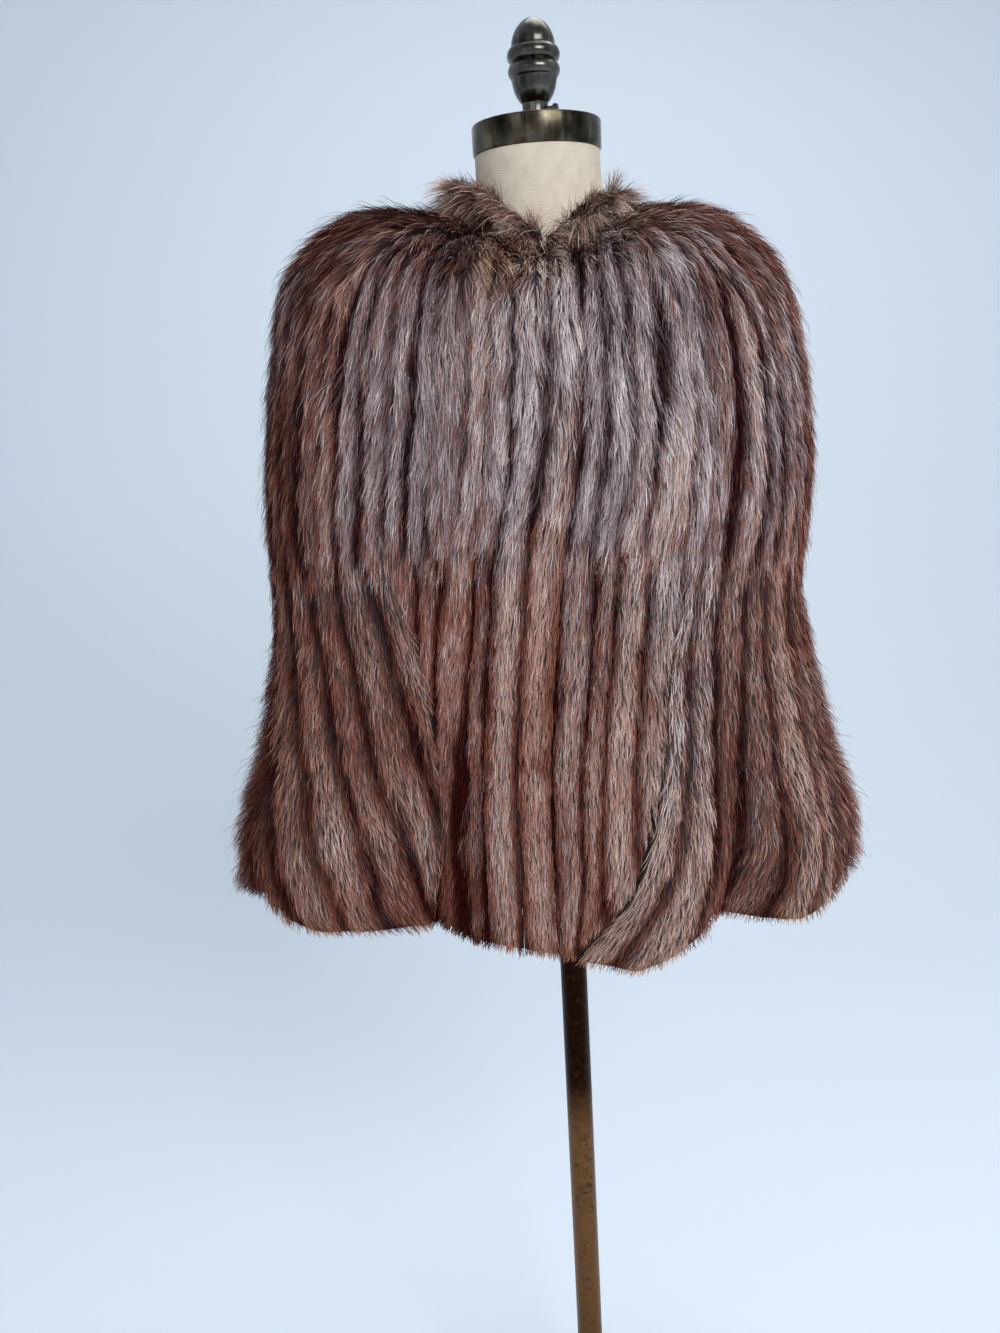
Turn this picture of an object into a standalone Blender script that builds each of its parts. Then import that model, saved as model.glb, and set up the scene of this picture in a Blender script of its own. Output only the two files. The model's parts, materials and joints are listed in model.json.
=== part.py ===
"""Fur cape with a small stand collar, worn by a linen-covered dress form on a pole stand.

Metres, +Z up, the floor at z = 0 and the pole on the Z axis. The front faces -Y, so the
wearer's right side lies at -X and the wearer's left side at +X.
"""
from math import cos, pi, radians, sin, tan
from typing import NamedTuple

import bpy
import numpy as np
from mathutils import Matrix

# Clearances
SEAM_GAP = 0.0003
TIER_GAP = 0.0004
COLLAR_GAP = 0.0006
BINDING_GAP = 0.0008
REST_GAP = 0.0009
BORE_CLEARANCE = 0.0006

# Fur pile: skin plus hair, thinner where the upper tier hangs over the lower one
PILE_NECK = 0.009
PILE_FULL = 0.013
PILE_UNDER_TIER = 0.008
PELT_RELIEF = 0.0035

# Grid of the walls: rows of points in each tier, and pelts side by side in each panel
UPPER_ROWS = 9
LOWER_ROWS = 7
FRONT_UPPER_PELTS = 9
SIDE_UPPER_PELTS = 9
BACK_UPPER_PELTS = 20
FRONT_LOWER_PELTS = 4
LEFT_SIDE_LOWER_PELTS = 13
RIGHT_SIDE_LOWER_PELTS = 12
BACK_LOWER_PELTS = 22

# Front opening and arm slits
FRONT_EDGE_WIDTH = 0.024
OPENING_GAP = 0.003
SLIT_GAP = 0.007
BINDING_WIDTH = 0.003
BINDING_THICKNESS = 0.006
LEFT_SLIT_LIFT = 0.010
RIGHT_SLIT_LIFT = 0.006
FRONT_SINK = 0.005
SLIT_LIFT_REACH = 0.06
SLIT_LIFT_ROWS = 1.5
FOLD_GROWTH = 1.2

# Stand collar
COLLAR_LEAN = 0.004
COLLAR_BULGE = 0.004
COLLAR_TOP_THICKNESS = 0.010
COLLAR_ROWS = 5
COLLAR_COLUMNS = 44

# Neck hook and eye
HOOK_WIRE_RADIUS = 0.0009
HOOK_LENGTH = 0.016
HOOK_WIDTH = 0.005
HOOK_STANDOFF = 0.0016

# Dress form, its cap and finial
FORM_COLUMNS = 40
NECK_RADIUS = 0.052
NECK_TOP = 1.371
NECK_TILT = radians(6.0)
CAP_RADIUS = 0.0535
CAP_HEIGHT = 0.0225
CAP_EDGE = 0.0015
SCREW_RADIUS = 0.0022
SCREW_REACH = 0.0085
SCREW_SOCKET = 0.004
SCREW_HEAD_RADIUS = 0.0036
SCREW_HEAD_THICKNESS = 0.0035
SCREW_HEIGHT = 0.0098
SCREW_TURN = radians(-20.0)
SCREW_SIDES = 16

# Pole and base
POLE_RADIUS = 0.0127
POLE_TOP = 1.02
BASE_RADIUS = 0.19
BASE_EDGE = 0.010
BASE_HEIGHT = 0.030
HUB_RADIUS = 0.026
HUB_HEIGHT = 0.085
SOCKET_FLOOR = 0.012


class Section(NamedTuple):
    """One ring of a loft: heights at front, side and back, half widths, depths, squareness."""

    name: str
    z_front: float
    z_side: float
    z_back: float
    right_half: float
    left_half: float
    front_depth: float
    back_depth: float
    squareness: float


FORM_SECTIONS = (
    Section("neck top", 1.3656, NECK_TOP, 1.3764, NECK_RADIUS, NECK_RADIUS, NECK_RADIUS, NECK_RADIUS, 2.0),
    Section("neck middle", 1.3250, 1.3420, 1.3530, 0.0535, 0.0535, 0.0560, 0.0530, 2.0),
    Section("neck base", 1.2790, 1.3165, 1.3340, 0.0640, 0.0640, 0.0700, 0.0580, 2.0),
    Section("shoulder inner", 1.2540, 1.3050, 1.3150, 0.1000, 0.1000, 0.0980, 0.0820, 2.1),
    Section("shoulder outer", 1.2150, 1.2850, 1.2800, 0.1480, 0.1480, 0.1130, 0.1030, 2.2),
    Section("arm plate", 1.1800, 1.2450, 1.2400, 0.1720, 0.1720, 0.1210, 0.1130, 2.3),
    Section("chest", 1.1480, 1.1700, 1.1700, 0.1640, 0.1640, 0.1290, 0.1120, 2.3),
    Section("bust", 1.1000, 1.1000, 1.1000, 0.1540, 0.1540, 0.1330, 0.1060, 2.2),
    Section("under bust", 1.0300, 1.0300, 1.0300, 0.1320, 0.1320, 0.1080, 0.0960, 2.1),
    Section("waist", 0.9600, 0.9600, 0.9600, 0.1160, 0.1160, 0.0900, 0.0860, 2.0),
    Section("hip", 0.8600, 0.8600, 0.8600, 0.1480, 0.1480, 0.1040, 0.1120, 2.0),
    Section("seat", 0.7750, 0.7750, 0.7750, 0.1600, 0.1600, 0.1080, 0.1200, 2.0),
    Section("lower edge", 0.7580, 0.7580, 0.7580, 0.1520, 0.1520, 0.1010, 0.1130, 2.0),
)
NECK_BASE = FORM_SECTIONS[2]

# Inside of the cape, row by row from the neck seam to the hem
CAPE_SECTIONS = (
    Section("neck seam", NECK_BASE.z_front, NECK_BASE.z_side, NECK_BASE.z_back,
            NECK_BASE.right_half + REST_GAP, NECK_BASE.left_half + REST_GAP,
            NECK_BASE.front_depth + REST_GAP, NECK_BASE.back_depth + REST_GAP, 2.0),
    Section("yoke", 1.2570, 1.3180, 1.3180, 0.1150, 0.1080, 0.1080, 0.0900, 2.1),
    Section("shoulder", 1.2230, 1.3080, 1.2850, 0.1620, 0.1520, 0.1340, 0.1180, 2.2),
    Section("shoulder end", 1.1800, 1.2700, 1.2380, 0.2060, 0.1890, 0.1480, 0.1380, 2.3),
    Section("upper arm", 1.1350, 1.2060, 1.1850, 0.2230, 0.2040, 0.1550, 0.1500, 2.4),
    Section("bust", 1.0920, 1.1200, 1.1150, 0.2360, 0.2110, 0.1560, 0.1560, 2.4),
    Section("waist seam", 1.0480, 1.0240, 1.0260, 0.2440, 0.2060, 0.1530, 0.1600, 2.4),
    Section("hip", 0.9650, 0.9500, 0.9500, 0.2480, 0.2140, 0.1510, 0.1650, 2.4),
    Section("thigh", 0.8850, 0.8720, 0.8720, 0.2660, 0.2320, 0.1540, 0.1720, 2.3),
    Section("low", 0.8080, 0.7980, 0.7980, 0.2900, 0.2520, 0.1590, 0.1790, 2.3),
    Section("hem", 0.7420, 0.7300, 0.7300, 0.2980, 0.2590, 0.1590, 0.1790, 2.2),
)
ROW = {section.name: row for row, section in enumerate(CAPE_SECTIONS)}
WAIST_ROW = ROW["waist seam"]
HEM_ROW = ROW["hem"]


class EdgePoint(NamedTuple):
    """Where a front edge or slit stands at one row: distance to the wearer's left of centre."""

    row: str
    across: float


FRONT_OPENING = (
    EdgePoint("neck seam", -0.002),
    EdgePoint("upper arm", -0.012),
    EdgePoint("waist seam", -0.029),
    EdgePoint("thigh", -0.046),
    EdgePoint("hem", -0.048),
)
LEFT_SLIT = (
    EdgePoint("waist seam", 0.092),
    EdgePoint("hip", 0.073),
    EdgePoint("thigh", 0.064),
    EdgePoint("low", 0.044),
    EdgePoint("hem", -0.006),
)
RIGHT_SLIT = (
    EdgePoint("waist seam", -0.130),
    EdgePoint("hip", -0.116),
    EdgePoint("thigh", -0.110),
    EdgePoint("low", -0.106),
    EdgePoint("hem", -0.106),
)


class LeanPoint(NamedTuple):
    """How far the cape sits lower on the wearer's left: drop per distance across, at one row."""

    row: str
    slope: float


LEAN = (
    LeanPoint("neck seam", 0.000),
    LeanPoint("yoke", 0.030),
    LeanPoint("shoulder", 0.050),
    LeanPoint("waist seam", 0.045),
    LeanPoint("hem", 0.015),
)


class Fold(NamedTuple):
    """A soft fold of the lower tier. Girth runs from 0 at centre front to +1 or -1 at centre back."""

    girth: float
    depth: float
    width: float


FOLDS = (
    Fold(-0.93, -0.010, 0.05),
    Fold(-0.80, 0.012, 0.06),
    Fold(-0.68, -0.012, 0.05),
    Fold(-0.55, 0.012, 0.06),
    Fold(-0.43, -0.010, 0.04),
    Fold(-0.30, 0.013, 0.06),
    Fold(-0.165, -0.022, 0.04),
    Fold(0.085, 0.014, 0.05),
    Fold(0.175, -0.020, 0.035),
    Fold(0.270, 0.012, 0.05),
    Fold(0.45, -0.008, 0.05),
    Fold(0.55, 0.012, 0.06),
    Fold(0.68, -0.012, 0.05),
    Fold(0.80, 0.012, 0.06),
    Fold(0.92, -0.010, 0.05),
)


class HemPoint(NamedTuple):
    """How far the hem hangs above or below its section at one girth."""

    girth: float
    rise: float


HEM_LINE = (
    HemPoint(-0.55, 0.000),
    HemPoint(-0.45, 0.014),
    HemPoint(-0.37, 0.032),
    HemPoint(-0.29, 0.014),
    HemPoint(-0.175, 0.015),
    HemPoint(-0.07, -0.001),
    HemPoint(0.055, -0.020),
    HemPoint(0.165, 0.012),
    HemPoint(0.26, 0.008),
    HemPoint(0.42, 0.034),
    HemPoint(0.55, 0.000),
)


class CollarPoint(NamedTuple):
    """How high the stand collar rises at one girth."""

    girth: float
    height: float


COLLAR_LINE = (
    CollarPoint(-1.00, 0.030),
    CollarPoint(-0.50, 0.034),
    CollarPoint(-0.25, 0.038),
    CollarPoint(-0.12, 0.028),
    CollarPoint(0.00, 0.010),
    CollarPoint(0.12, 0.022),
    CollarPoint(0.25, 0.026),
    CollarPoint(0.50, 0.024),
    CollarPoint(1.00, 0.030),
)

# Seams between front, side and back, as girth
FRONT_SEAM = 0.33
BACK_SEAM = 0.62

# Turned outlines, radius and height from their seat, top to bottom
FINIAL_OUTLINE = (
    (0.0000, 0.0770), (0.0050, 0.0762), (0.0100, 0.0732), (0.0145, 0.0678), (0.0172, 0.0615),
    (0.0182, 0.0560), (0.0204, 0.0540), (0.0217, 0.0500), (0.0204, 0.0460), (0.0183, 0.0442),
    (0.0202, 0.0424), (0.0214, 0.0386), (0.0202, 0.0348), (0.0188, 0.0325), (0.0172, 0.0255),
    (0.0148, 0.0200), (0.0121, 0.0162), (0.0107, 0.0140), (0.0107, 0.0050), (0.0123, 0.0030),
    (0.0126, 0.0000), (0.0000, 0.0000),
)
BASE_OUTLINE = (
    (POLE_RADIUS + BORE_CLEARANCE, HUB_HEIGHT),
    (HUB_RADIUS - 0.003, HUB_HEIGHT),
    (HUB_RADIUS, HUB_HEIGHT - 0.003),
    (HUB_RADIUS, 0.042),
    (HUB_RADIUS + 0.012, BASE_HEIGHT),
    (0.100, 0.024),
    (BASE_RADIUS - 0.012, 0.016),
    (BASE_RADIUS, BASE_EDGE),
    (BASE_RADIUS, 0.003),
    (BASE_RADIUS - 0.003, 0.000),
    (0.000, 0.000),
)
TURNED_SIDES = 28
BASE_SIDES = 48
POLE_SIDES = 24


def new_material(name, colour, roughness, metallic=0.0):
    """A Principled material with the piece's own colour."""
    material = bpy.data.materials.new(name)
    material.use_nodes = True
    shader = material.node_tree.nodes["Principled BSDF"]
    shader.inputs["Base Color"].default_value = (*colour, 1.0)
    shader.inputs["Roughness"].default_value = roughness
    shader.inputs["Metallic"].default_value = metallic
    return material


def new_object(name, points, faces, material, smooth=True):
    """An object from points and faces, shaded smooth up to a sharp angle."""
    mesh = bpy.data.meshes.new(name)
    mesh.from_pydata([tuple(point) for point in points], [], faces)
    mesh.materials.append(material)
    if smooth:
        mesh.shade_smooth()
        mesh.set_sharp_from_angle(angle=radians(40.0))
    piece = bpy.data.objects.new(name, mesh)
    bpy.context.collection.objects.link(piece)
    return piece


def through(values, row):
    """A smooth curve through a column of section values, read at fractional rows."""
    values = np.asarray(values, float)
    row = np.clip(np.asarray(row, float), 0.0, len(values) - 1.0)
    first = np.clip(np.floor(row).astype(int), 0, len(values) - 2)
    part = row - first
    before = values[np.maximum(first - 1, 0)]
    start = values[first]
    end = values[first + 1]
    after = values[np.minimum(first + 2, len(values) - 1)]
    leave = 0.5 * (end - before)
    arrive = 0.5 * (after - start)
    rise = end - start
    return (start + leave * part + (3 * rise - 2 * leave - arrive) * part ** 2
            + (leave + arrive - 2 * rise) * part ** 3)


def section_at(sections, row):
    """The ring at a fractional row of a loft."""
    columns = list(zip(*sections))[1:]
    return Section("", *(float(through(column, row)) for column in columns))


# Steps along a half ring, and the small steps that give directions on a surface
RING_STEPS = np.linspace(0.0, pi, 361)
GIRTH_STEP = 0.004
ROW_STEP = 0.05


def half_ring(section, side):
    """One half of a ring from centre front to centre back: girth 0 to 1, x and y."""
    half = section.left_half if side > 0 else section.right_half
    power = 2.0 / section.squareness
    across = side * half * np.sin(RING_STEPS).clip(0.0) ** power
    forward = np.cos(RING_STEPS)
    depth = np.where(forward > 0, section.front_depth, section.back_depth)
    along = -depth * np.sign(forward) * np.abs(forward) ** power
    steps = np.hypot(np.diff(across), np.diff(along))
    girth = np.concatenate(([0.0], np.cumsum(steps)))
    return girth / girth[-1], across, along


def ring_height(section, girth):
    """Height of a ring, eased from front to side to back."""
    turn = np.abs(girth)
    to_side = 0.5 - 0.5 * np.cos(2.0 * pi * np.minimum(turn, 0.5))
    to_back = 0.5 - 0.5 * np.cos(2.0 * pi * (np.maximum(turn, 0.5) - 0.5))
    height = section.z_front + (section.z_side - section.z_front) * to_side
    return height + (section.z_back - section.z_side) * to_back


def ring_points(section, girth):
    """Points of a ring at signed girths, + to the wearer's left."""
    girth = (np.asarray(girth, float) + 1.0) % 2.0 - 1.0
    points = np.empty((len(girth), 3))
    for side in (-1, 1):
        chosen = girth >= 0 if side > 0 else girth < 0
        turn, across, along = half_ring(section, side)
        points[chosen, 0] = np.interp(np.abs(girth[chosen]), turn, across)
        points[chosen, 1] = np.interp(np.abs(girth[chosen]), turn, along)
    points[:, 2] = ring_height(section, girth)
    return points


def girth_at(section, across):
    """Signed girth of the point on a ring's front that lies a distance left of centre."""
    turn, reach, _ = half_ring(section, 1 if across >= 0 else -1)
    front = slice(0, len(turn) // 2 + 1)
    return float(np.copysign(np.interp(abs(across), np.abs(reach[front]), turn[front]), across))


def girth_per_metre(section, girth):
    """How much girth one metre along the ring takes."""
    ends = ring_points(section, [girth - GIRTH_STEP, girth + GIRTH_STEP])
    return 2.0 * GIRTH_STEP / float(np.linalg.norm(ends[1] - ends[0]))


def edge_girth(edge, row):
    """Girth of a front edge or slit at a row."""
    rows = [ROW[point.row] for point in edge]
    reaches = [point.across for point in edge]
    place = np.interp(row, rows, np.arange(len(rows)))
    return girth_at(section_at(CAPE_SECTIONS, row), float(through(reaches, place)))


def fold_depth(girth, row):
    """Outward move of the lower tier's folds, growing from the waist seam to the hem."""
    growth = max(0.0, (row - WAIST_ROW) / (HEM_ROW - WAIST_ROW)) ** FOLD_GROWTH
    turn = (np.asarray(girth, float) + 1.0) % 2.0 - 1.0
    moves = [fold.depth * np.exp(-((turn - fold.girth) / fold.width) ** 2) for fold in FOLDS]
    return growth * np.sum(moves, axis=0)


def hem_rise(girth, row):
    """Upward move of the last rows that gives the uneven hem."""
    growth = max(0.0, (row - ROW["thigh"]) / (HEM_ROW - ROW["thigh"]))
    turn = (np.asarray(girth, float) + 1.0) % 2.0 - 1.0
    girths = [point.girth for point in HEM_LINE]
    rises = [point.rise for point in HEM_LINE]
    return growth * np.interp(turn, girths, rises)


def cape_points(girth, row):
    """Inside of the cape at one row."""
    section = section_at(CAPE_SECTIONS, row)
    points = ring_points(section, girth)
    girth = np.asarray(girth, float)
    tangent = ring_points(section, girth + GIRTH_STEP) - ring_points(section, girth - GIRTH_STEP)
    outward = np.stack([tangent[:, 1], -tangent[:, 0], np.zeros(len(tangent))], axis=1)
    outward /= np.linalg.norm(outward, axis=1, keepdims=True)
    points += outward * fold_depth(girth, row)[:, None]
    slope = np.interp(row, [ROW[point.row] for point in LEAN], [point.slope for point in LEAN])
    points[:, 2] += hem_rise(girth, row) - slope * points[:, 0]
    return points


def cape_frame(girth, row):
    """Unit directions on the cape at one row: outward and down the pelts."""
    girth = np.asarray(girth, float)
    along = cape_points(girth + GIRTH_STEP, row) - cape_points(girth - GIRTH_STEP, row)
    down = cape_points(girth, min(row + ROW_STEP, HEM_ROW)) - cape_points(girth, max(row - ROW_STEP, 0.0))
    down /= np.linalg.norm(down, axis=1, keepdims=True)
    outward = np.cross(down, along)
    outward /= np.linalg.norm(outward, axis=1, keepdims=True)
    return outward, down


def pile_depth(row):
    """Thickness of skin and hair at a row."""
    if row <= WAIST_ROW:
        return float(np.interp(row, [0.0, 1.5], [PILE_NECK, PILE_FULL]))
    return float(np.interp(row, [WAIST_ROW, WAIST_ROW + 1.0], [PILE_UNDER_TIER, PILE_FULL]))


def shell_object(name, inner, outer, material):
    """A closed wall from two grids of points, rows by columns.

    The side rims share one diagonal, so that neighbours keep their gap where a rim is twisted.
    """
    rows, columns = inner.shape[:2]
    points = np.concatenate([inner.reshape(-1, 3), outer.reshape(-1, 3)])
    far = rows * columns
    faces = []
    for row in range(rows - 1):
        for column in range(columns - 1):
            a = row * columns + column
            b = a + 1
            c = b + columns
            d = a + columns
            faces.append((a, b, c, d))
            faces.append((far + d, far + c, far + b, far + a))
    for row in range(rows - 1):
        left = row * columns
        right = left + columns - 1
        faces.append((left, left + columns, far + left + columns))
        faces.append((left, far + left + columns, far + left))
        faces.append((right + columns, right, far + right + columns))
        faces.append((right, far + right, far + right + columns))
    for column in range(columns - 1):
        low = (rows - 1) * columns + column
        faces.append((column + 1, column, far + column, far + column + 1))
        faces.append((low, low + 1, far + low + 1, far + low))
    return new_object(name, points, faces, material)


def lift_growth(row):
    """How much of a slit's lift shows at a row: none at the waist seam, all a little below it."""
    return min(1.0, max(0.0, row - WAIST_ROW) / SLIT_LIFT_ROWS)


def panel(name, rows, left_edge, right_edge, pelts, material, left_lift=0.0, right_lift=0.0):
    """A fur panel of pelts side by side, each a low ridge, between two edges given by row.

    A lift moves the panel out near one edge, so that it lies over or under its neighbour.
    """
    columns = 2 * pelts + 1
    share = np.linspace(0.0, 1.0, columns)
    ridge = np.arange(columns) % 2
    inner = np.empty((len(rows), columns, 3))
    outer = np.empty_like(inner)
    for index, row in enumerate(rows):
        start = left_edge(row)
        end = right_edge(row)
        girth = start + (end - start) * share
        outward, _ = cape_frame(girth, row)
        near_left = np.exp(-((girth - start) / SLIT_LIFT_REACH) ** 2)
        near_right = np.exp(-((girth - end) / SLIT_LIFT_REACH) ** 2)
        lift = lift_growth(row) * (left_lift * near_left + right_lift * near_right)
        inner[index] = cape_points(girth, row) + outward * lift[:, None]
        pile = pile_depth(row) + PELT_RELIEF * (ridge - 0.5)
        outer[index] = inner[index] + outward * pile[:, None]
    return shell_object(name, inner, outer, material)


def beside(edge, distance):
    """An edge moved along the ring by a distance, + to the wearer's left."""
    def moved(row):
        girth = edge(row)
        return girth + distance * girth_per_metre(section_at(CAPE_SECTIONS, row), girth)
    return moved


def fixed(girth):
    """An edge that keeps one girth."""
    return lambda row: girth


def opening(row):
    """Centre of the front opening."""
    return edge_girth(FRONT_OPENING, row)


def left_slit(row):
    """Centre of the wearer's left arm slit."""
    return edge_girth(LEFT_SLIT, row)


def right_slit(row):
    """Centre of the wearer's right arm slit."""
    return edge_girth(RIGHT_SLIT, row)


def build_upper_tier(fur):
    """Yoke and body down to the waist seam: two fronts, two sides and the back."""
    rows = np.linspace(0.0, WAIST_ROW, UPPER_ROWS)
    half_gap = SEAM_GAP / 2
    front_start = OPENING_GAP / 2 + FRONT_EDGE_WIDTH + SEAM_GAP
    seams = {side: fixed(side * FRONT_SEAM) for side in (-1, 1)}
    backs = {side: fixed(side * BACK_SEAM) for side in (-1, 1)}
    panel("front_upper_left", rows, beside(opening, front_start), beside(seams[1], -half_gap),
          FRONT_UPPER_PELTS, fur)
    panel("front_upper_right", rows, beside(seams[-1], half_gap), beside(opening, -front_start),
          FRONT_UPPER_PELTS, fur)
    panel("side_upper_left", rows, beside(seams[1], half_gap), beside(backs[1], -half_gap),
          SIDE_UPPER_PELTS, fur)
    panel("side_upper_right", rows, beside(backs[-1], half_gap), beside(seams[-1], -half_gap),
          SIDE_UPPER_PELTS, fur)
    panel("back_upper", rows, beside(backs[1], half_gap), beside(fixed(2.0 - BACK_SEAM), -half_gap),
          BACK_UPPER_PELTS, fur)


def lower_rows():
    """Rows of the lower tier, the first just clear of the waist seam."""
    tier_height = CAPE_SECTIONS[WAIST_ROW].z_side - CAPE_SECTIONS[WAIST_ROW + 1].z_side
    return np.linspace(WAIST_ROW + TIER_GAP / tier_height, HEM_ROW, LOWER_ROWS)


def build_lower_tier(fur):
    """Skirt of the cape below the waist seam, parted by the two arm slits."""
    rows = lower_rows()
    half_gap = SEAM_GAP / 2
    front_start = OPENING_GAP / 2 + FRONT_EDGE_WIDTH + SEAM_GAP
    slit_side = SLIT_GAP / 2
    backs = {side: fixed(side * BACK_SEAM) for side in (-1, 1)}
    panel("front_lower_left", rows, beside(opening, front_start), beside(left_slit, -slit_side),
          FRONT_LOWER_PELTS, fur, right_lift=-FRONT_SINK)
    panel("front_lower_right", rows, beside(right_slit, slit_side), beside(opening, -front_start),
          FRONT_LOWER_PELTS, fur, left_lift=-FRONT_SINK)
    panel("side_lower_left", rows, beside(left_slit, slit_side), beside(backs[1], -half_gap),
          LEFT_SIDE_LOWER_PELTS, fur, left_lift=LEFT_SLIT_LIFT)
    panel("side_lower_right", rows, beside(backs[-1], half_gap), beside(right_slit, -slit_side),
          RIGHT_SIDE_LOWER_PELTS, fur, right_lift=RIGHT_SLIT_LIFT)
    panel("back_lower", rows, beside(backs[1], half_gap), beside(fixed(2.0 - BACK_SEAM), -half_gap),
          BACK_LOWER_PELTS, fur)


def build_front_edges(fur):
    """One long pelt along each side of the front opening, from neck to hem."""
    rows = np.concatenate([np.linspace(0.0, WAIST_ROW, UPPER_ROWS), lower_rows()[1:]])
    near = OPENING_GAP / 2
    far = near + FRONT_EDGE_WIDTH
    panel("front_edge_left", rows, beside(opening, near), beside(opening, far), 1, fur)
    panel("front_edge_right", rows, beside(opening, -far), beside(opening, -near), 1, fur)


def build_slit_binding(name, slit, side, lift, satin):
    """A dark bound edge along the side panel's edge of an arm slit."""
    rows = lower_rows()
    near = side * (SLIT_GAP / 2 - BINDING_GAP)
    far = near - side * BINDING_WIDTH
    inner = np.empty((len(rows), 2, 3))
    outer = np.empty_like(inner)
    for index, row in enumerate(rows):
        ends = sorted((beside(slit, near)(row), beside(slit, far)(row)))
        outward, _ = cape_frame(ends, row)
        inner[index] = cape_points(ends, row) + outward * lift_growth(row) * lift
        outer[index] = inner[index] + outward * BINDING_THICKNESS
    return shell_object(name, inner, outer, satin)


def build_collar(fur):
    """The stand collar: rises from the neck seam, leans out a little and ends in a rounded top."""
    neck = section_at(CAPE_SECTIONS, 0.0)
    start = beside(opening, OPENING_GAP / 2)(0.0)
    end = 2.0 + beside(opening, -OPENING_GAP / 2)(0.0)
    girth = np.linspace(start, end, COLLAR_COLUMNS + 1)
    outward, down = cape_frame(girth, 0.0)
    inner_seam = ring_points(neck, girth) - down * COLLAR_GAP
    outer_seam = inner_seam + outward * (PILE_NECK + PELT_RELIEF / 2 + SEAM_GAP)
    turn = (girth + 1.0) % 2.0 - 1.0
    height = np.interp(turn, [point.girth for point in COLLAR_LINE], [point.height for point in COLLAR_LINE])
    radial = inner_seam * [1.0, 1.0, 0.0]
    radial /= np.linalg.norm(radial, axis=1, keepdims=True)
    up = np.array([0.0, 0.0, 1.0])
    inner_top = inner_seam + up * height[:, None] + radial * COLLAR_LEAN
    outer_top = inner_top + radial * COLLAR_TOP_THICKNESS - up * 0.15 * height[:, None]
    inner = np.empty((COLLAR_ROWS, len(girth), 3))
    outer = np.empty_like(inner)
    for index, share in enumerate(np.linspace(1.0, 0.0, COLLAR_ROWS)):
        inner[index] = inner_seam + (inner_top - inner_seam) * share
        outer[index] = outer_seam + (outer_top - outer_seam) * share
        outer[index] += radial * COLLAR_BULGE * sin(pi * share)
    return shell_object("collar", inner, outer, fur)


def wire(name, route, material):
    """A round wire along a short route, closed at both ends."""
    curve = bpy.data.curves.new(name, "CURVE")
    curve.dimensions = "3D"
    curve.bevel_depth = HOOK_WIRE_RADIUS
    curve.bevel_resolution = 1
    curve.use_fill_caps = True
    spline = curve.splines.new("POLY")
    spline.points.add(len(route) - 1)
    for point, place in zip(spline.points, route):
        point.co = (*place, 1.0)
    curve.materials.append(material)
    piece = bpy.data.objects.new(name, curve)
    bpy.context.collection.objects.link(piece)
    return piece


def build_neck_fastener(black):
    """A black wire hook on the left front edge that holds an eye on the right one."""
    row = 0.33
    place = opening(row)
    outward, down = (direction[0] for direction in cape_frame([place], row))
    left = np.cross(outward, down)
    left *= np.sign(left[0])
    reach = pile_depth(row) + PELT_RELIEF / 2 + HOOK_STANDOFF
    centre = cape_points([place], row)[0] + outward * reach
    half = HOOK_WIDTH / 2
    bend = [radians(angle) for angle in (90, 126, 162, 198, 234, 270)]
    hook_reach = -0.3 * HOOK_LENGTH
    eye_reach = hook_reach - HOOK_WIDTH - 2 * HOOK_WIRE_RADIUS - SEAM_GAP
    hook_bend = [(hook_reach + half * cos(angle), half * sin(angle)) for angle in bend]
    hook_plan = [(0.7 * HOOK_LENGTH, half)] + hook_bend + [(0.7 * HOOK_LENGTH, -half)]
    eye_bend = [(eye_reach - half * cos(angle), half * sin(angle)) for angle in bend]
    eye_plan = [(eye_reach - HOOK_WIDTH, half)] + eye_bend + [(eye_reach - HOOK_WIDTH, -half)]
    for name, plan in (("neck_hook", hook_plan), ("neck_eye", eye_plan)):
        wire(name, [centre + left * across - down * up for across, up in plan], black)


def build_form_body(linen):
    """The padded torso and neck, one smooth body with a bore for the pole."""
    girth = np.linspace(-1.0, 1.0, FORM_COLUMNS, endpoint=False)
    last = len(FORM_SECTIONS) - 1
    places = np.linspace(0.0, last, 2 * last + 1)
    rows = [ring_points(section_at(FORM_SECTIONS, place), girth) for place in places]
    rows[0][:, 2] = NECK_TOP + rows[0][:, 1] * tan(NECK_TILT)
    points = list(np.concatenate(rows))
    faces = []
    count = FORM_COLUMNS
    for row in range(len(rows) - 1):
        for column in range(count):
            after = (column + 1) % count
            above = row * count
            below = above + count
            faces.append((above + column, below + column, below + after, above + after))
    top = len(points)
    points.append(np.mean(rows[0], axis=0))
    faces += [(column, (column + 1) % count, top) for column in range(count)]
    radius = POLE_RADIUS + BORE_CLEARANCE
    direction = rows[-1][:, :2] / np.linalg.norm(rows[-1][:, :2], axis=1, keepdims=True)
    for height in (FORM_SECTIONS[-1].z_side, POLE_TOP + SEAM_GAP):
        ring = np.column_stack([direction * radius, np.full(count, height)])
        points.extend(ring)
    edge = (len(rows) - 1) * count
    mouth = top + 1
    roof = mouth + count
    for column in range(count):
        after = (column + 1) % count
        faces.append((edge + column, mouth + column, mouth + after, edge + after))
        faces.append((mouth + column, roof + column, roof + after, mouth + after))
    points.append(np.array([0.0, 0.0, POLE_TOP + SEAM_GAP]))
    faces += [(roof + column, len(points) - 1, roof + (column + 1) % count) for column in range(count)]
    return new_object("form_body", points, faces, linen)


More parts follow.
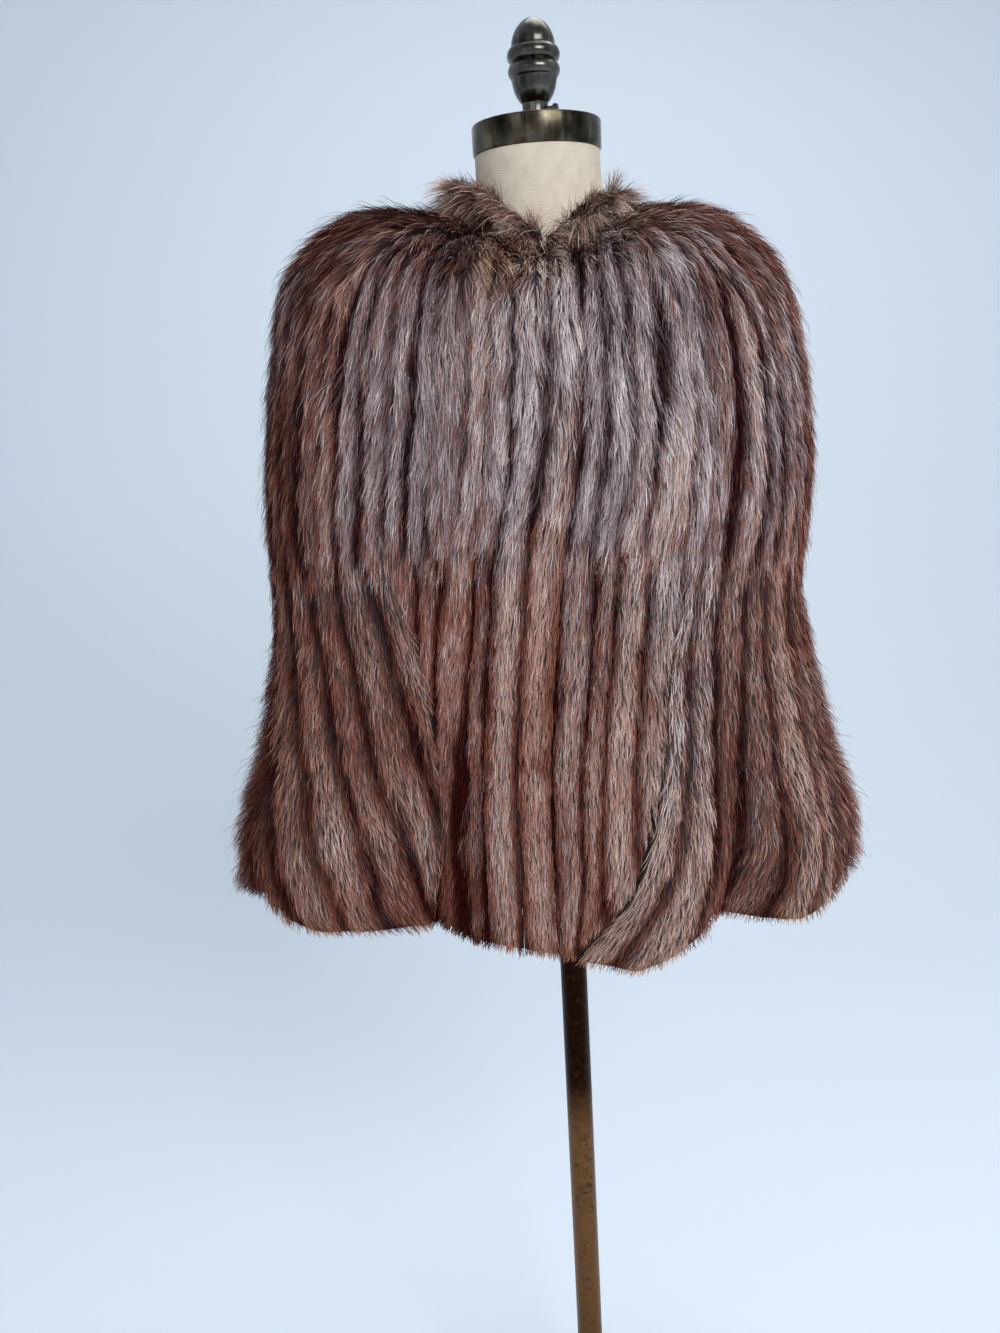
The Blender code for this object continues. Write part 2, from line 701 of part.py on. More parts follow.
def turned(name, outline, sides, material):
    """A solid turned about Z from an outline of radius and height, listed from the top down."""
    rings = [(radius, height) for radius, height in outline if radius > 0]
    points = []
    for radius, height in rings:
        for side in range(sides):
            angle = 2.0 * pi * side / sides
            points.append((radius * cos(angle), radius * sin(angle), height))
    faces = []
    for ring in range(len(rings) - 1):
        for side in range(sides):
            after = (side + 1) % sides
            above = ring * sides
            below = above + sides
            faces.append((above + side, below + side, below + after, above + after))
    points.append((0.0, 0.0, outline[0][1]))
    points.append((0.0, 0.0, outline[-1][1]))
    last = (len(rings) - 1) * sides
    for side in range(sides):
        after = (side + 1) % sides
        faces.append((side, after, len(points) - 2))
        faces.append((last + after, last + side, len(points) - 1))
    return new_object(name, points, faces, material)


def tilted_seat(height):
    """Place on the neck's leaning axis, at a height above the neck's top."""
    tilt = Matrix.Rotation(NECK_TILT, 4, "X")
    return Matrix.Translation((0.0, 0.0, NECK_TOP)) @ tilt @ Matrix.Translation((0.0, 0.0, height))


def build_neck_cap(gunmetal):
    """The flat metal cap on the neck."""
    outline = (
        (CAP_RADIUS - CAP_EDGE, CAP_HEIGHT),
        (CAP_RADIUS - 0.3 * CAP_EDGE, CAP_HEIGHT - 0.3 * CAP_EDGE),
        (CAP_RADIUS, CAP_HEIGHT - CAP_EDGE),
        (CAP_RADIUS, CAP_EDGE),
        (CAP_RADIUS - CAP_EDGE, 0.0),
    )
    cap = turned("neck_cap", outline, FORM_COLUMNS, gunmetal)
    cap.matrix_world = tilted_seat(SEAM_GAP)
    return cap


def build_finial(gunmetal, steel):
    """The turned finial on the cap and the set screw in its stem."""
    seat = tilted_seat(2 * SEAM_GAP + CAP_HEIGHT)
    finial = turned("finial", FINIAL_OUTLINE, TURNED_SIDES, gunmetal)
    finial.matrix_world = seat
    stem_radius = min(radius for radius, height in FINIAL_OUTLINE if 0.004 < height < 0.016)
    aim = seat @ Matrix.Translation((0.0, 0.0, SCREW_HEIGHT))
    aim = aim @ Matrix.Rotation(SCREW_TURN, 4, "Z") @ Matrix.Rotation(radians(90.0), 4, "Y")
    socket_end = stem_radius - SCREW_SOCKET
    hole = ((SCREW_RADIUS + SEAM_GAP, stem_radius + 0.004), (SCREW_RADIUS + SEAM_GAP, socket_end))
    cutter = turned("screw_hole", hole, SCREW_SIDES, steel)
    cutter.matrix_world = aim
    cutter.hide_render = True
    cutter.display_type = "WIRE"
    cut = finial.modifiers.new("screw hole", "BOOLEAN")
    cut.operation = "DIFFERENCE"
    cut.object = cutter
    head = stem_radius + SCREW_REACH
    outline = (
        (SCREW_HEAD_RADIUS - 0.0006, head),
        (SCREW_HEAD_RADIUS, head - 0.0006),
        (SCREW_HEAD_RADIUS, head - SCREW_HEAD_THICKNESS),
        (SCREW_RADIUS, head - SCREW_HEAD_THICKNESS),
        (SCREW_RADIUS, socket_end + SEAM_GAP),
    )
    screw = turned("set_screw", outline, SCREW_SIDES, steel)
    screw.matrix_world = aim


def build_stand(bronze):
    """The pole and the round weighted base whose hub holds it."""
    outline = ((POLE_RADIUS, POLE_TOP), (POLE_RADIUS, SOCKET_FLOOR + SEAM_GAP))
    turned("pole", outline, POLE_SIDES, bronze)
    inside = [(POLE_RADIUS + BORE_CLEARANCE, SOCKET_FLOOR)]
    turned("base", inside + list(BASE_OUTLINE), BASE_SIDES, bronze)


def main():
    for old in list(bpy.data.objects):
        bpy.data.objects.remove(old)
    upper_fur = new_material("upper fur", (0.30, 0.24, 0.21), 0.8)
    lower_fur = new_material("lower fur", (0.24, 0.15, 0.11), 0.8)
    collar_fur = new_material("collar fur", (0.10, 0.055, 0.04), 0.8)
    satin = new_material("black satin", (0.01, 0.009, 0.01), 0.5)
    black = new_material("black wire", (0.01, 0.01, 0.01), 0.4, 0.8)
    linen = new_material("linen", (0.72, 0.64, 0.50), 0.9)
    gunmetal = new_material("gunmetal", (0.10, 0.10, 0.10), 0.4, 0.9)
    bronze = new_material("antique bronze", (0.045, 0.028, 0.02), 0.3, 0.8)
    build_upper_tier(upper_fur)
    build_lower_tier(lower_fur)
    build_front_edges(upper_fur)
    build_slit_binding("slit_binding_left", left_slit, 1, LEFT_SLIT_LIFT, satin)
    build_slit_binding("slit_binding_right", right_slit, -1, RIGHT_SLIT_LIFT, satin)
    build_collar(collar_fur)
    build_neck_fastener(black)
    build_form_body(linen)
    build_neck_cap(gunmetal)
    build_finial(gunmetal, gunmetal)
    build_stand(bronze)


main()
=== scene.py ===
"""Looks of a fur cape on a linen dress form: skins, fur, form, stand, floor, light and camera.

Metres, +Z up, front towards -Y, the wearer's left at +X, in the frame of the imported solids.
"""
import json
from collections import namedtuple
from math import cos, pi, radians, sin, tan
from typing import NamedTuple

import bmesh
import bpy
import numpy as np
from mathutils import Matrix, Vector

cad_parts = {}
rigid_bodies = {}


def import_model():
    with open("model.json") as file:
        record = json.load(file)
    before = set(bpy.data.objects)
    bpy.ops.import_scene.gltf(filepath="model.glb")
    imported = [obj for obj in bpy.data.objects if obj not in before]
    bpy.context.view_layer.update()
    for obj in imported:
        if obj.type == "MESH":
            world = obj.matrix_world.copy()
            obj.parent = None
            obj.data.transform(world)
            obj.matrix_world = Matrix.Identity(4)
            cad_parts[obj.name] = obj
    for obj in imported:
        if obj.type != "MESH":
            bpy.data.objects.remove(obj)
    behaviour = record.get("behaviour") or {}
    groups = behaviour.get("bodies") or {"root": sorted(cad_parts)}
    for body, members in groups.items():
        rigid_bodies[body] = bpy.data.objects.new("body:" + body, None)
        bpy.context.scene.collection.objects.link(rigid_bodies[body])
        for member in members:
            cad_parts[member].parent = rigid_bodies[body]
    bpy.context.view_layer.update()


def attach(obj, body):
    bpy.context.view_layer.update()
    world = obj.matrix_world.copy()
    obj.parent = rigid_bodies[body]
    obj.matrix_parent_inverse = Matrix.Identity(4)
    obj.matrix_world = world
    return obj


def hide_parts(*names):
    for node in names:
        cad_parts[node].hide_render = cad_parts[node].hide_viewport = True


# Photograph's camera: lens for a frame 1000 wide and 1333 high, place, downward pitch and roll
FOCAL_PIXELS = 1001.0
FRAME_HEIGHT_PIXELS = 1333.0
SENSOR = 36.0
CAMERA_PLACE = (-0.055, -0.90, 1.114)
CAMERA_PITCH = radians(11.0)
CAMERA_ROLL = radians(3.24)

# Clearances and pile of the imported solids
SEAM_GAP = 0.0003
TIER_GAP = 0.0004
COLLAR_GAP = 0.0006
BINDING_GAP = 0.0008
REST_GAP = 0.0009
BORE_CLEARANCE = 0.0006
PILE_NECK = 0.009
PILE_FULL = 0.013
PILE_UNDER_TIER = 0.008
PELT_RELIEF = 0.0035

# Front opening, seams, and growth of the slit lifts and folds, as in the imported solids
FRONT_EDGE_WIDTH = 0.024
OPENING_GAP = 0.003
SLIT_LIFT_REACH = 0.06
SLIT_LIFT_ROWS = 1.5
FOLD_GROWTH = 1.2
FRONT_SEAM = 0.33
BACK_SEAM = 0.62

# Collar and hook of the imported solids
COLLAR_LEAN = 0.004
COLLAR_BULGE = 0.004
COLLAR_TOP_THICKNESS = 0.010
COLLAR_TOP_SLOPE = 0.15
HOOK_WIRE_RADIUS = 0.0009
HOOK_LENGTH = 0.016
HOOK_WIDTH = 0.005
HOOK_LEFT_SHARE = 0.7
HOOK_RIGHT_SHARE = 0.3
HOOK_SITS = 0.75
HOOK_ROW = 0.33

# Form, cap, finial, screw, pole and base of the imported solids
NECK_RADIUS = 0.052
NECK_TOP = 1.371
NECK_TILT = radians(6.0)
NECK_GIRTH = 2.0 * pi * NECK_RADIUS
CAP_RADIUS = 0.0535
CAP_HEIGHT = 0.0225
SCREW_RADIUS = 0.0022
SCREW_REACH = 0.0085
SCREW_SOCKET = 0.004
SCREW_HEAD_RADIUS = 0.0036
SCREW_HEAD_THICKNESS = 0.0035
SCREW_HEIGHT = 0.0098
SCREW_TURN = radians(-20.0)
STEM_RADIUS = 0.0107
POLE_RADIUS = 0.0127
POLE_TOP = 1.02
SOCKET_FLOOR = 0.012

# Rounded rim and foot of the cap, as (in from its side, down from its top or up from its foot)
CAP_RIM = ((0.0015, 0.0), (0.0006, 0.0003), (0.0001, 0.0009), (0.0, 0.0016))
CAP_FOOT = ((0.0, 0.0014), (0.0005, 0.0004), (0.0015, 0.0))

# Height below which the pole's dark lacquer gives way to lighter bronze, and half the band over which it does
BRONZE_BELOW = 0.487
BRONZE_EASE = 0.03

# Slits as they show, closer than in the solids: lift of the side panels' edges, sink of the fronts, and the
# satin facing on the side panels' edges
LEFT_SLIT_LIFT = 0.006
RIGHT_SLIT_LIFT = 0.006
FRONT_SINK = 0.002
FACING_WIDTH = 0.009
FACING_THICKNESS = 0.0012
FACING_COLUMNS = 7

# Edges that show in each slit, by row, as distances from its centre line towards their own side: the lifted
# side panel lies over the front one, and near the hem it draws back and shows the front's shaded edge
SLIT_ROWS = (6.0, 7.4, 8.6, 9.2, 10.0)
LEFT_SIDE_EDGE = (0.0006, -0.0010, -0.0005, 0.0020, 0.0010)
LEFT_FRONT_EDGE = (0.0006, -0.0010, -0.0005, 0.0025, 0.0010)
RIGHT_SIDE_EDGE = (0.0006, -0.0010, 0.0, 0.0080, 0.0240)
RIGHT_FRONT_EDGE = (0.0006, -0.0010, -0.0020, -0.0100, -0.0260)

# Gap that shows in the front opening, where the two edges' hair meets
OPENING_SHOWS = 0.0004

# Upward direction, steps round half a ring, and the girth and rows over which directions on it are taken
UP = np.array([0.0, 0.0, 1.0])
RING_STEPS = np.linspace(0.0, pi, 361)
GIRTH_STEP = 0.004
ROW_STEP = 0.05

# Seeds of the random draws, one for each panel and one for the collar
PANEL_SEED = 100
COLLAR_SEED = 7

# Grid that a panel's hair is laid on, by rows and columns in a pelt; the skin's mesh keeps every second row
GRID_ROWS = 45
PELT_COLUMNS = 6
SKIN_ROW_STEP = 2

# Skin under the hair, its ridge along each pelt, the roll of the hem, the upper tier's thin edge, and the
# raised strip along the left front edge with the rows where its short pelts join
SKIN_DEPTH = 0.0022
SKIN_RIDGE = 0.0036
HEM_ROLL = 0.014
HEM_EDGE_SHARE = 0.12
TIER_TAPER = 0.030
TIER_EDGE_SHARE = 0.35
STRIP_RAISE = 1.4
STRIP_JOINTS = (3.4, 5.6, 7.9)

# Pelts: how sharp their grooves are, above the waist and below it, the weakest groove and the faintest place
# along one, uneven widths, and the wander of the seams as (waves down a panel, share of a pelt)
UPPER_GROOVE = 0.66
LOWER_GROOVE = 0.44
UPPER_GROOVE_FADES = (0.50, 0.60)
LOWER_GROOVE_FADES = (0.90, 0.82)
GROOVE_MARKS = 9
PELT_JITTER = 0.32
SEAM_WANDER = ((5, 0.14), (14, 0.10))

# Run of the pelts' seams: how far they hang plumb, follow the slanting slit or bend towards a slit, and the
# part of a pelt that the slit cuts off
PLUMB_SHARE = 0.85
SWEEP_SHARE = 0.5
SWEPT_PELT = 1.6
BEND_SHARE = 0.22
BEND_POWER = 2.5
SLIT_CUT = 0.4

# Hair: length, shortest, height of the tips over the skin, depth of the root in it, width of a drawn lock,
# and the lock's steps from root to tip with their widths
HAIR_LENGTH = 0.021
SHORTEST_HAIR = 0.006
HAIR_RISE = 0.0062
ROOT_DEPTH = 0.0006
LOCK_WIDTH = 0.00058
HAIR_STEPS = np.array([0.0, 0.35, 0.7, 1.0])
HAIR_TAPER = np.array([1.0, 0.9, 0.62])

# Mesh of a lock, two quads and a triangle: corners of the faces, first corner of each, step of each corner
# along the hair, and its place across the lock in the bake map
LOCK_LOOPS = np.array([0, 1, 3, 2, 2, 3, 5, 4, 4, 5, 6])
LOCK_FACES = np.array([0, 4, 8])
LOCK_STEPS = np.array([0, 0, 1, 1, 2, 2, 3])
LOCK_ACROSS = np.array([0.25, 0.75, 0.25, 0.75, 0.25, 0.75, 0.5])

# Tufts: their length, how many lie across a pelt, and how far locks draw in to their middle
CLUMP_LENGTH = 0.015
CLUMPS_PER_PELT = 3
DRAW_IN = (0.18, 0.55)

# How uneven locks are in length, rise and width, the share that stands up, on the shoulders too, and how far
LENGTH_SPREAD = (0.7, 1.2)
RISE_SPREAD = (0.40, 1.15)
WIDTH_SPREAD = (0.7, 1.3)
STANDING_LOCKS = 0.04
STANDING_ON_SHOULDER = 0.10
STANDING_RISE = 1.6

# Sideways lean by place, tuft and lock, and over a slit's edge, the bend of a lock, its roll about its
# length, and the dip of hair that spills over a slit's edge
PLACE_SLANT = 0.20
TUFT_SLANT = 0.24
LOCK_SLANT = 0.07
SLIT_SLANT = 0.2
LOCK_BEND = 0.0006
LOCK_ROLL = 0.9
SLIT_DIP = 1.1

# How far hair passes each edge, and how far the lower tier's hair starts under the upper tier
TIER_OVERHANG = 0.040
HEM_OVERHANG = 0.009
SEAM_OVERHANG = 0.005
SLIT_OVERHANG = 0.007
TIER_TUCK = 0.014
TIER_TUCK_REACH = 0.035

# Shades of a coat, and how much painted light on a fold's ridge and painted shade in its hollow lighten or
# darken the lower tier's hair, with the depth that gives all of it
SHADES = 10
FOLD_PAINTED_SHADING = 0.20
FOLD_FULL = 0.012

# Collar: grid, share of the solid's thickness and height that is skin, its place between crest and groove,
# locks, hair and tufts, and the shares of locks over the top edge, light, of its own coat, and up to brown
COLLAR_GRID_COLUMNS = 121
COLLAR_GRID_ROWS = 11
COLLAR_SKIN_SHARE = 0.45
COLLAR_SKIN_HEIGHT = 0.92
COLLAR_CREST = 0.45
COLLAR_LOCKS = 14000
COLLAR_HAIR_LENGTH = 0.026
COLLAR_TUFT_COLUMNS = 2.6
COLLAR_TUFT_ROWS = 3.0
COLLAR_TOP_LOCKS = 0.18
COLLAR_LIGHT_LOCKS = 0.26
COLLAR_OWN_COAT = 0.55
COLLAR_BROWN_COAT = 0.85

# Grid of the linen form, and the length of its weave over the top and into the bore
FORM_GRID_COLUMNS = 120
FORM_GRID_STEPS = 6
WEAVE_OVER_TOP = 0.05
WEAVE_INTO_BORE = np.array([0.1, 0.36, 0.38])

# Floor that rises in a smooth bend to a backdrop behind the form
COVE_HALF = 7.0
COVE_BACK = 2.4
COVE_BEND = 1.2
COVE_TOP = 5.0

# Area lights as (name, place, size, power), and the point that they face
LIGHTS = (("key", (1.1, -2.5, 2.3), 1.5, 62.0), ("fill", (-1.2, -2.4, 1.5), 1.8, 6.0),
          ("top", (0.4, 0.5, 3.2), 1.6, 24.0))
LIGHT_AIM = (0.0, 0.0, 1.05)


class Section(NamedTuple):
    """One ring of a loft: heights at front, side and back, half widths, depths, squareness."""

    name: str
    z_front: float
    z_side: float
    z_back: float
    right_half: float
    left_half: float
    front_depth: float
    back_depth: float
    squareness: float


FORM_SECTIONS = (
    Section("neck top", 1.3656, NECK_TOP, 1.3764, NECK_RADIUS, NECK_RADIUS, NECK_RADIUS, NECK_RADIUS, 2.0),
    Section("neck middle", 1.3250, 1.3420, 1.3530, 0.0535, 0.0535, 0.0560, 0.0530, 2.0),
    Section("neck base", 1.2790, 1.3165, 1.3340, 0.0640, 0.0640, 0.0700, 0.0580, 2.0),
    Section("shoulder inner", 1.2540, 1.3050, 1.3150, 0.1000, 0.1000, 0.0980, 0.0820, 2.1),
    Section("shoulder outer", 1.2150, 1.2850, 1.2800, 0.1480, 0.1480, 0.1130, 0.1030, 2.2),
    Section("arm plate", 1.1800, 1.2450, 1.2400, 0.1720, 0.1720, 0.1210, 0.1130, 2.3),
    Section("chest", 1.1480, 1.1700, 1.1700, 0.1640, 0.1640, 0.1290, 0.1120, 2.3),
    Section("bust", 1.1000, 1.1000, 1.1000, 0.1540, 0.1540, 0.1330, 0.1060, 2.2),
    Section("under bust", 1.0300, 1.0300, 1.0300, 0.1320, 0.1320, 0.1080, 0.0960, 2.1),
    Section("waist", 0.9600, 0.9600, 0.9600, 0.1160, 0.1160, 0.0900, 0.0860, 2.0),
    Section("hip", 0.8600, 0.8600, 0.8600, 0.1480, 0.1480, 0.1040, 0.1120, 2.0),
    Section("seat", 0.7750, 0.7750, 0.7750, 0.1600, 0.1600, 0.1080, 0.1200, 2.0),
    Section("lower edge", 0.7580, 0.7580, 0.7580, 0.1520, 0.1520, 0.1010, 0.1130, 2.0),
)
NECK_BASE = FORM_SECTIONS[2]

# Inside of the cape, row by row from the neck seam to the hem
CAPE_SECTIONS = (
    Section("neck seam", NECK_BASE.z_front, NECK_BASE.z_side, NECK_BASE.z_back,
            NECK_BASE.right_half + REST_GAP, NECK_BASE.left_half + REST_GAP,
            NECK_BASE.front_depth + REST_GAP, NECK_BASE.back_depth + REST_GAP, 2.0),
    Section("yoke", 1.2570, 1.3180, 1.3180, 0.1150, 0.1080, 0.1080, 0.0900, 2.1),
    Section("shoulder", 1.2230, 1.3080, 1.2850, 0.1620, 0.1520, 0.1340, 0.1180, 2.2),
    Section("shoulder end", 1.1800, 1.2700, 1.2380, 0.2060, 0.1890, 0.1480, 0.1380, 2.3),
    Section("upper arm", 1.1350, 1.2060, 1.1850, 0.2230, 0.2040, 0.1550, 0.1500, 2.4),
    Section("bust", 1.0920, 1.1200, 1.1150, 0.2360, 0.2110, 0.1560, 0.1560, 2.4),
    Section("waist seam", 1.0480, 1.0240, 1.0260, 0.2440, 0.2060, 0.1530, 0.1600, 2.4),
    Section("hip", 0.9650, 0.9500, 0.9500, 0.2480, 0.2140, 0.1510, 0.1650, 2.4),
    Section("thigh", 0.8850, 0.8720, 0.8720, 0.2660, 0.2320, 0.1540, 0.1720, 2.3),
    Section("low", 0.8080, 0.7980, 0.7980, 0.2900, 0.2520, 0.1590, 0.1790, 2.3),
    Section("hem", 0.7420, 0.7300, 0.7300, 0.2980, 0.2590, 0.1590, 0.1790, 2.2),
)
ROW = {section.name: row for row, section in enumerate(CAPE_SECTIONS)}
WAIST_ROW = ROW["waist seam"]
HEM_ROW = ROW["hem"]

# Edges as (row, distance to the wearer's left of centre)
FRONT_OPENING = (("neck seam", -0.002), ("upper arm", -0.012), ("waist seam", -0.029),
                 ("thigh", -0.046), ("hem", -0.048))
LEFT_SLIT = (("waist seam", 0.092), ("hip", 0.073), ("thigh", 0.064), ("low", 0.044), ("hem", -0.006))
RIGHT_SLIT = (("waist seam", -0.130), ("hip", -0.116), ("thigh", -0.110), ("low", -0.106), ("hem", -0.106))

# How far the cape sits lower on the wearer's left, as (row, slope)
LEAN = (("neck seam", 0.000), ("yoke", 0.030), ("shoulder", 0.050), ("waist seam", 0.045), ("hem", 0.015))

# Folds of the lower tier as (girth, depth, width), hem and collar lines as (girth, height)
FOLDS = (
    (-0.93, -0.010, 0.05), (-0.80, 0.012, 0.06), (-0.68, -0.012, 0.05), (-0.55, 0.012, 0.06),
    (-0.43, -0.010, 0.04), (-0.30, 0.013, 0.06), (-0.165, -0.022, 0.04), (0.085, 0.014, 0.05),
    (0.175, -0.020, 0.035), (0.270, 0.012, 0.05), (0.45, -0.008, 0.05), (0.55, 0.012, 0.06),
    (0.68, -0.012, 0.05), (0.80, 0.012, 0.06), (0.92, -0.010, 0.05),
)
HEM_LINE = (
    (-0.55, 0.000), (-0.45, 0.014), (-0.37, 0.032), (-0.29, 0.014), (-0.175, 0.015), (-0.07, -0.001),
    (0.055, -0.020), (0.165, 0.012), (0.26, 0.008), (0.42, 0.034), (0.55, 0.000),
)
COLLAR_LINE = (
    (-1.00, 0.030), (-0.50, 0.034), (-0.25, 0.038), (-0.12, 0.028), (0.00, 0.010),
    (0.12, 0.022), (0.25, 0.026), (0.50, 0.024), (1.00, 0.030),
)

# Height of the collar that shows, as (girth, share of the solid's): it lies lower on the wearer's left
COLLAR_SHOWS = ((-1.0, 0.7), (-0.6, 0.7), (-0.4, 0.9), (-0.2, 1.0), (-0.05, 1.1), (0.05, 1.3), (0.15, 1.3),
                (0.24, 1.1), (0.33, 0.72), (0.42, 0.5), (0.6, 0.5), (1.0, 0.7))

# Turned outlines, radius and height from their seat, top to bottom
FINIAL_OUTLINE = (
    (0.0000, 0.0770), (0.0050, 0.0762), (0.0100, 0.0732), (0.0145, 0.0678), (0.0172, 0.0615),
    (0.0182, 0.0560), (0.0204, 0.0540), (0.0217, 0.0500), (0.0204, 0.0460), (0.0183, 0.0442),
    (0.0202, 0.0424), (0.0214, 0.0386), (0.0202, 0.0348), (0.0188, 0.0325), (0.0172, 0.0255),
    (0.0148, 0.0200), (0.0121, 0.0162), (0.0107, 0.0140), (0.0107, 0.0050), (0.0123, 0.0030),
    (0.0126, 0.0000), (0.0000, 0.0000),
)
BASE_OUTLINE = (
    (0.0000, 0.0120), (0.0133, 0.0120), (0.0133, 0.0850), (0.0230, 0.0850), (0.0252, 0.0842),
    (0.0260, 0.0820), (0.0260, 0.0460), (0.0275, 0.0390), (0.0320, 0.0340), (0.0380, 0.0305),
    (0.0600, 0.0277), (0.1000, 0.0240), (0.1450, 0.0196), (0.1780, 0.0160), (0.1860, 0.0142),
    (0.1900, 0.0100), (0.1900, 0.0030), (0.1870, 0.0000), (0.0000, 0.0000),
)


class Coat(NamedTuple):
    """A colour of hair: its darkest, middle and lightest shade."""

    dark: str
    middle: str
    light: str


COATS = {
    "taupe": Coat("#2C1518", "#9E8B8F", "#F2E6E4"),
    "brown": Coat("#380B07", "#9C6759", "#E4C5B9"),
    "russet": Coat("#400C06", "#955846", "#D8AE9E"),
    "hem": Coat("#3A1009", "#8A5A3E", "#CDA582"),
    "collar": Coat("#120404", "#8A6E62", "#EAD6C8"),
}
COAT_NAMES = list(COATS)

# Shade along a hair, as a share of its linear colour: dark at the root, partly the hair's own colour and
# partly painted shade deep in the pile, and full colour near the tip
HAIR_SHADE = np.array([0.40, 0.78, 1.0, 1.12]) ** 1.6


class Tint(NamedTuple):
    """What a zone of the cape adds to the hair that lies in it."""

    shade: float
    warmth: float


# Tints of the zones; the shade of "side", "right" and "left" is painted shade, on the sides that turn from
# the light, on the wearer's right, which the light leaves in shade, and a little on the wearer's left front,
# while warmth is the hair's colour; "right" loses half its shade and "shoulder" some of its warmth where
# other zones meet it
ZONE_TINTS = {"side": Tint(-0.14, 0.44), "right": Tint(-0.21, 0.06), "left": Tint(-0.07, 0.0),
              "neck": Tint(-0.10, 0.45), "lower": Tint(0.04, 0.60), "shoulder": Tint(-0.17, 0.26)}

# Tints at edges: painted shadow, with redder hair, in the right slit; lighter beside the left slit; over the
# right hem; and on the strip along the left front edge, with painted shade at each joint of its short pelts
# and lighter hair below it
SLIT_SHADOW = Tint(-0.22, 0.50)
SLIT_LIGHT = Tint(0.04, -0.06)
RIGHT_HEM = Tint(-0.05, 0.16)
STRIP = Tint(-0.05, 0.30)
JOINT_PAINTED_SHADE = 0.30
JOINT_LIGHT = 0.12

# Shade of the right front edge: painted shadow under the left strip, and lighter above the row where that
# strip lies over it
STRIP_PAINTED_SHADOW = -0.45
ABOVE_STRIP = 0.10
STRIP_OVER_ROW = 2.2

# Warmth from which hair is brown and russet, and the most locks that are light on a ridge, curly below the
# collar, coloured as the hem along it, and rust under the collar's edge
BROWN_FROM = 0.42
RUSSET_FROM = 0.92
LIGHT_LOCKS = 0.14
CURLY_LOCKS = 0.60
HEM_LOCKS = 0.80
RUST_LOCKS = 0.55

# Shade of a lock on a ridge, the ridges' light and grooves' dark being partly the pelts' colour and partly
# painted light and shade; how uneven shade is by pelt, place, tuft and lock, what light locks and the ruff's
# tufts add, and the painted shade in a band along the hem
RIDGE_SHADE = 0.68
PELT_SHADE = 0.09
PLACE_SHADE = 0.16
TUFT_SHADE = 0.22
LOCK_SHADE = 0.08
LIGHT_SHADE = 0.38
RUFF_SHADE = 0.95
HEM_PAINTED_SHADE = 0.16

# Warmth of a lock before its zone's tint, and how uneven it is by pelt, place and lock
BASE_WARMTH = 0.08
PELT_WARMTH = 0.10
PLACE_WARMTH = 0.25
LOCK_WARMTH = 0.24


def linear(colour):
    """sRGB hex to linear red, green and blue."""
    values = [int(colour[index:index + 2], 16) / 255.0 for index in (1, 3, 5)]
    return [value / 12.92 if value <= 0.04045 else ((value + 0.055) / 1.055) ** 2.4 for value in values]


def through(values, row):
    """A smooth curve through a column of section values, read at fractional rows."""
    values = np.asarray(values, float)
    row = np.clip(np.asarray(row, float), 0.0, len(values) - 1.0)
    first = np.clip(np.floor(row).astype(int), 0, len(values) - 2)
    part = row - first
    before = values[np.maximum(first - 1, 0)]
    start = values[first]
    end = values[first + 1]
    after = values[np.minimum(first + 2, len(values) - 1)]
    leave = 0.5 * (end - before)
    arrive = 0.5 * (after - start)
    rise = end - start
    return (start + leave * part + (3 * rise - 2 * leave - arrive) * part ** 2
            + (leave + arrive - 2 * rise) * part ** 3)


def section_at(sections, row):
    """The ring at a fractional row of a loft."""
    columns = list(zip(*sections))[1:]
    return Section("", *(float(through(column, row)) for column in columns))


def half_ring(section, side):
    """One half of a ring from centre front to centre back: girth 0 to 1, x and y."""
    half = section.left_half if side > 0 else section.right_half
    power = 2.0 / section.squareness
    across = side * half * np.sin(RING_STEPS).clip(0.0) ** power
    forward = np.cos(RING_STEPS)
    depth = np.where(forward > 0, section.front_depth, section.back_depth)
    along = -depth * np.sign(forward) * np.abs(forward) ** power
    steps = np.hypot(np.diff(across), np.diff(along))
    girth = np.concatenate(([0.0], np.cumsum(steps)))
    return girth / girth[-1], across, along


def wrapped(girth):
    """Girth from -1 to 1, with centre front at 0."""
    return (np.asarray(girth, float) + 1.0) % 2.0 - 1.0


def ring_height(section, girth):
    """Height of a ring, eased from front to side to back."""
    turn = np.abs(girth)
    to_side = 0.5 - 0.5 * np.cos(2.0 * pi * np.minimum(turn, 0.5))
    to_back = 0.5 - 0.5 * np.cos(2.0 * pi * (np.maximum(turn, 0.5) - 0.5))
    height = section.z_front + (section.z_side - section.z_front) * to_side
    return height + (section.z_back - section.z_side) * to_back


def ring_points(section, girth):
    """Points of a ring at signed girths, + to the wearer's left."""
    girth = wrapped(girth)
    points = np.empty((len(girth), 3))
    for side in (-1, 1):
        chosen = girth >= 0 if side > 0 else girth < 0
        turn, across, along = half_ring(section, side)
        points[chosen, 0] = np.interp(np.abs(girth[chosen]), turn, across)
        points[chosen, 1] = np.interp(np.abs(girth[chosen]), turn, along)
    points[:, 2] = ring_height(section, girth)
    return points


def girth_at(section, across):
    """Signed girth of the point on a ring's front that lies a distance left of centre."""
    turn, reach, _ = half_ring(section, 1 if across >= 0 else -1)
    front = slice(0, len(turn) // 2 + 1)
    return float(np.copysign(np.interp(abs(across), np.abs(reach[front]), turn[front]), across))


def girth_per_metre(section, girth):
    """How much girth one metre along the ring takes."""
    ends = ring_points(section, [girth - GIRTH_STEP, girth + GIRTH_STEP])
    return 2.0 * GIRTH_STEP / float(np.linalg.norm(ends[1] - ends[0]))


def edge_girth(edge, row):
    """Girth of a front edge or slit at a row."""
    rows = [ROW[name] for name, _ in edge]
    place = np.interp(row, rows, np.arange(len(rows)))
    across = float(through([reach for _, reach in edge], place))
    return girth_at(section_at(CAPE_SECTIONS, row), across)


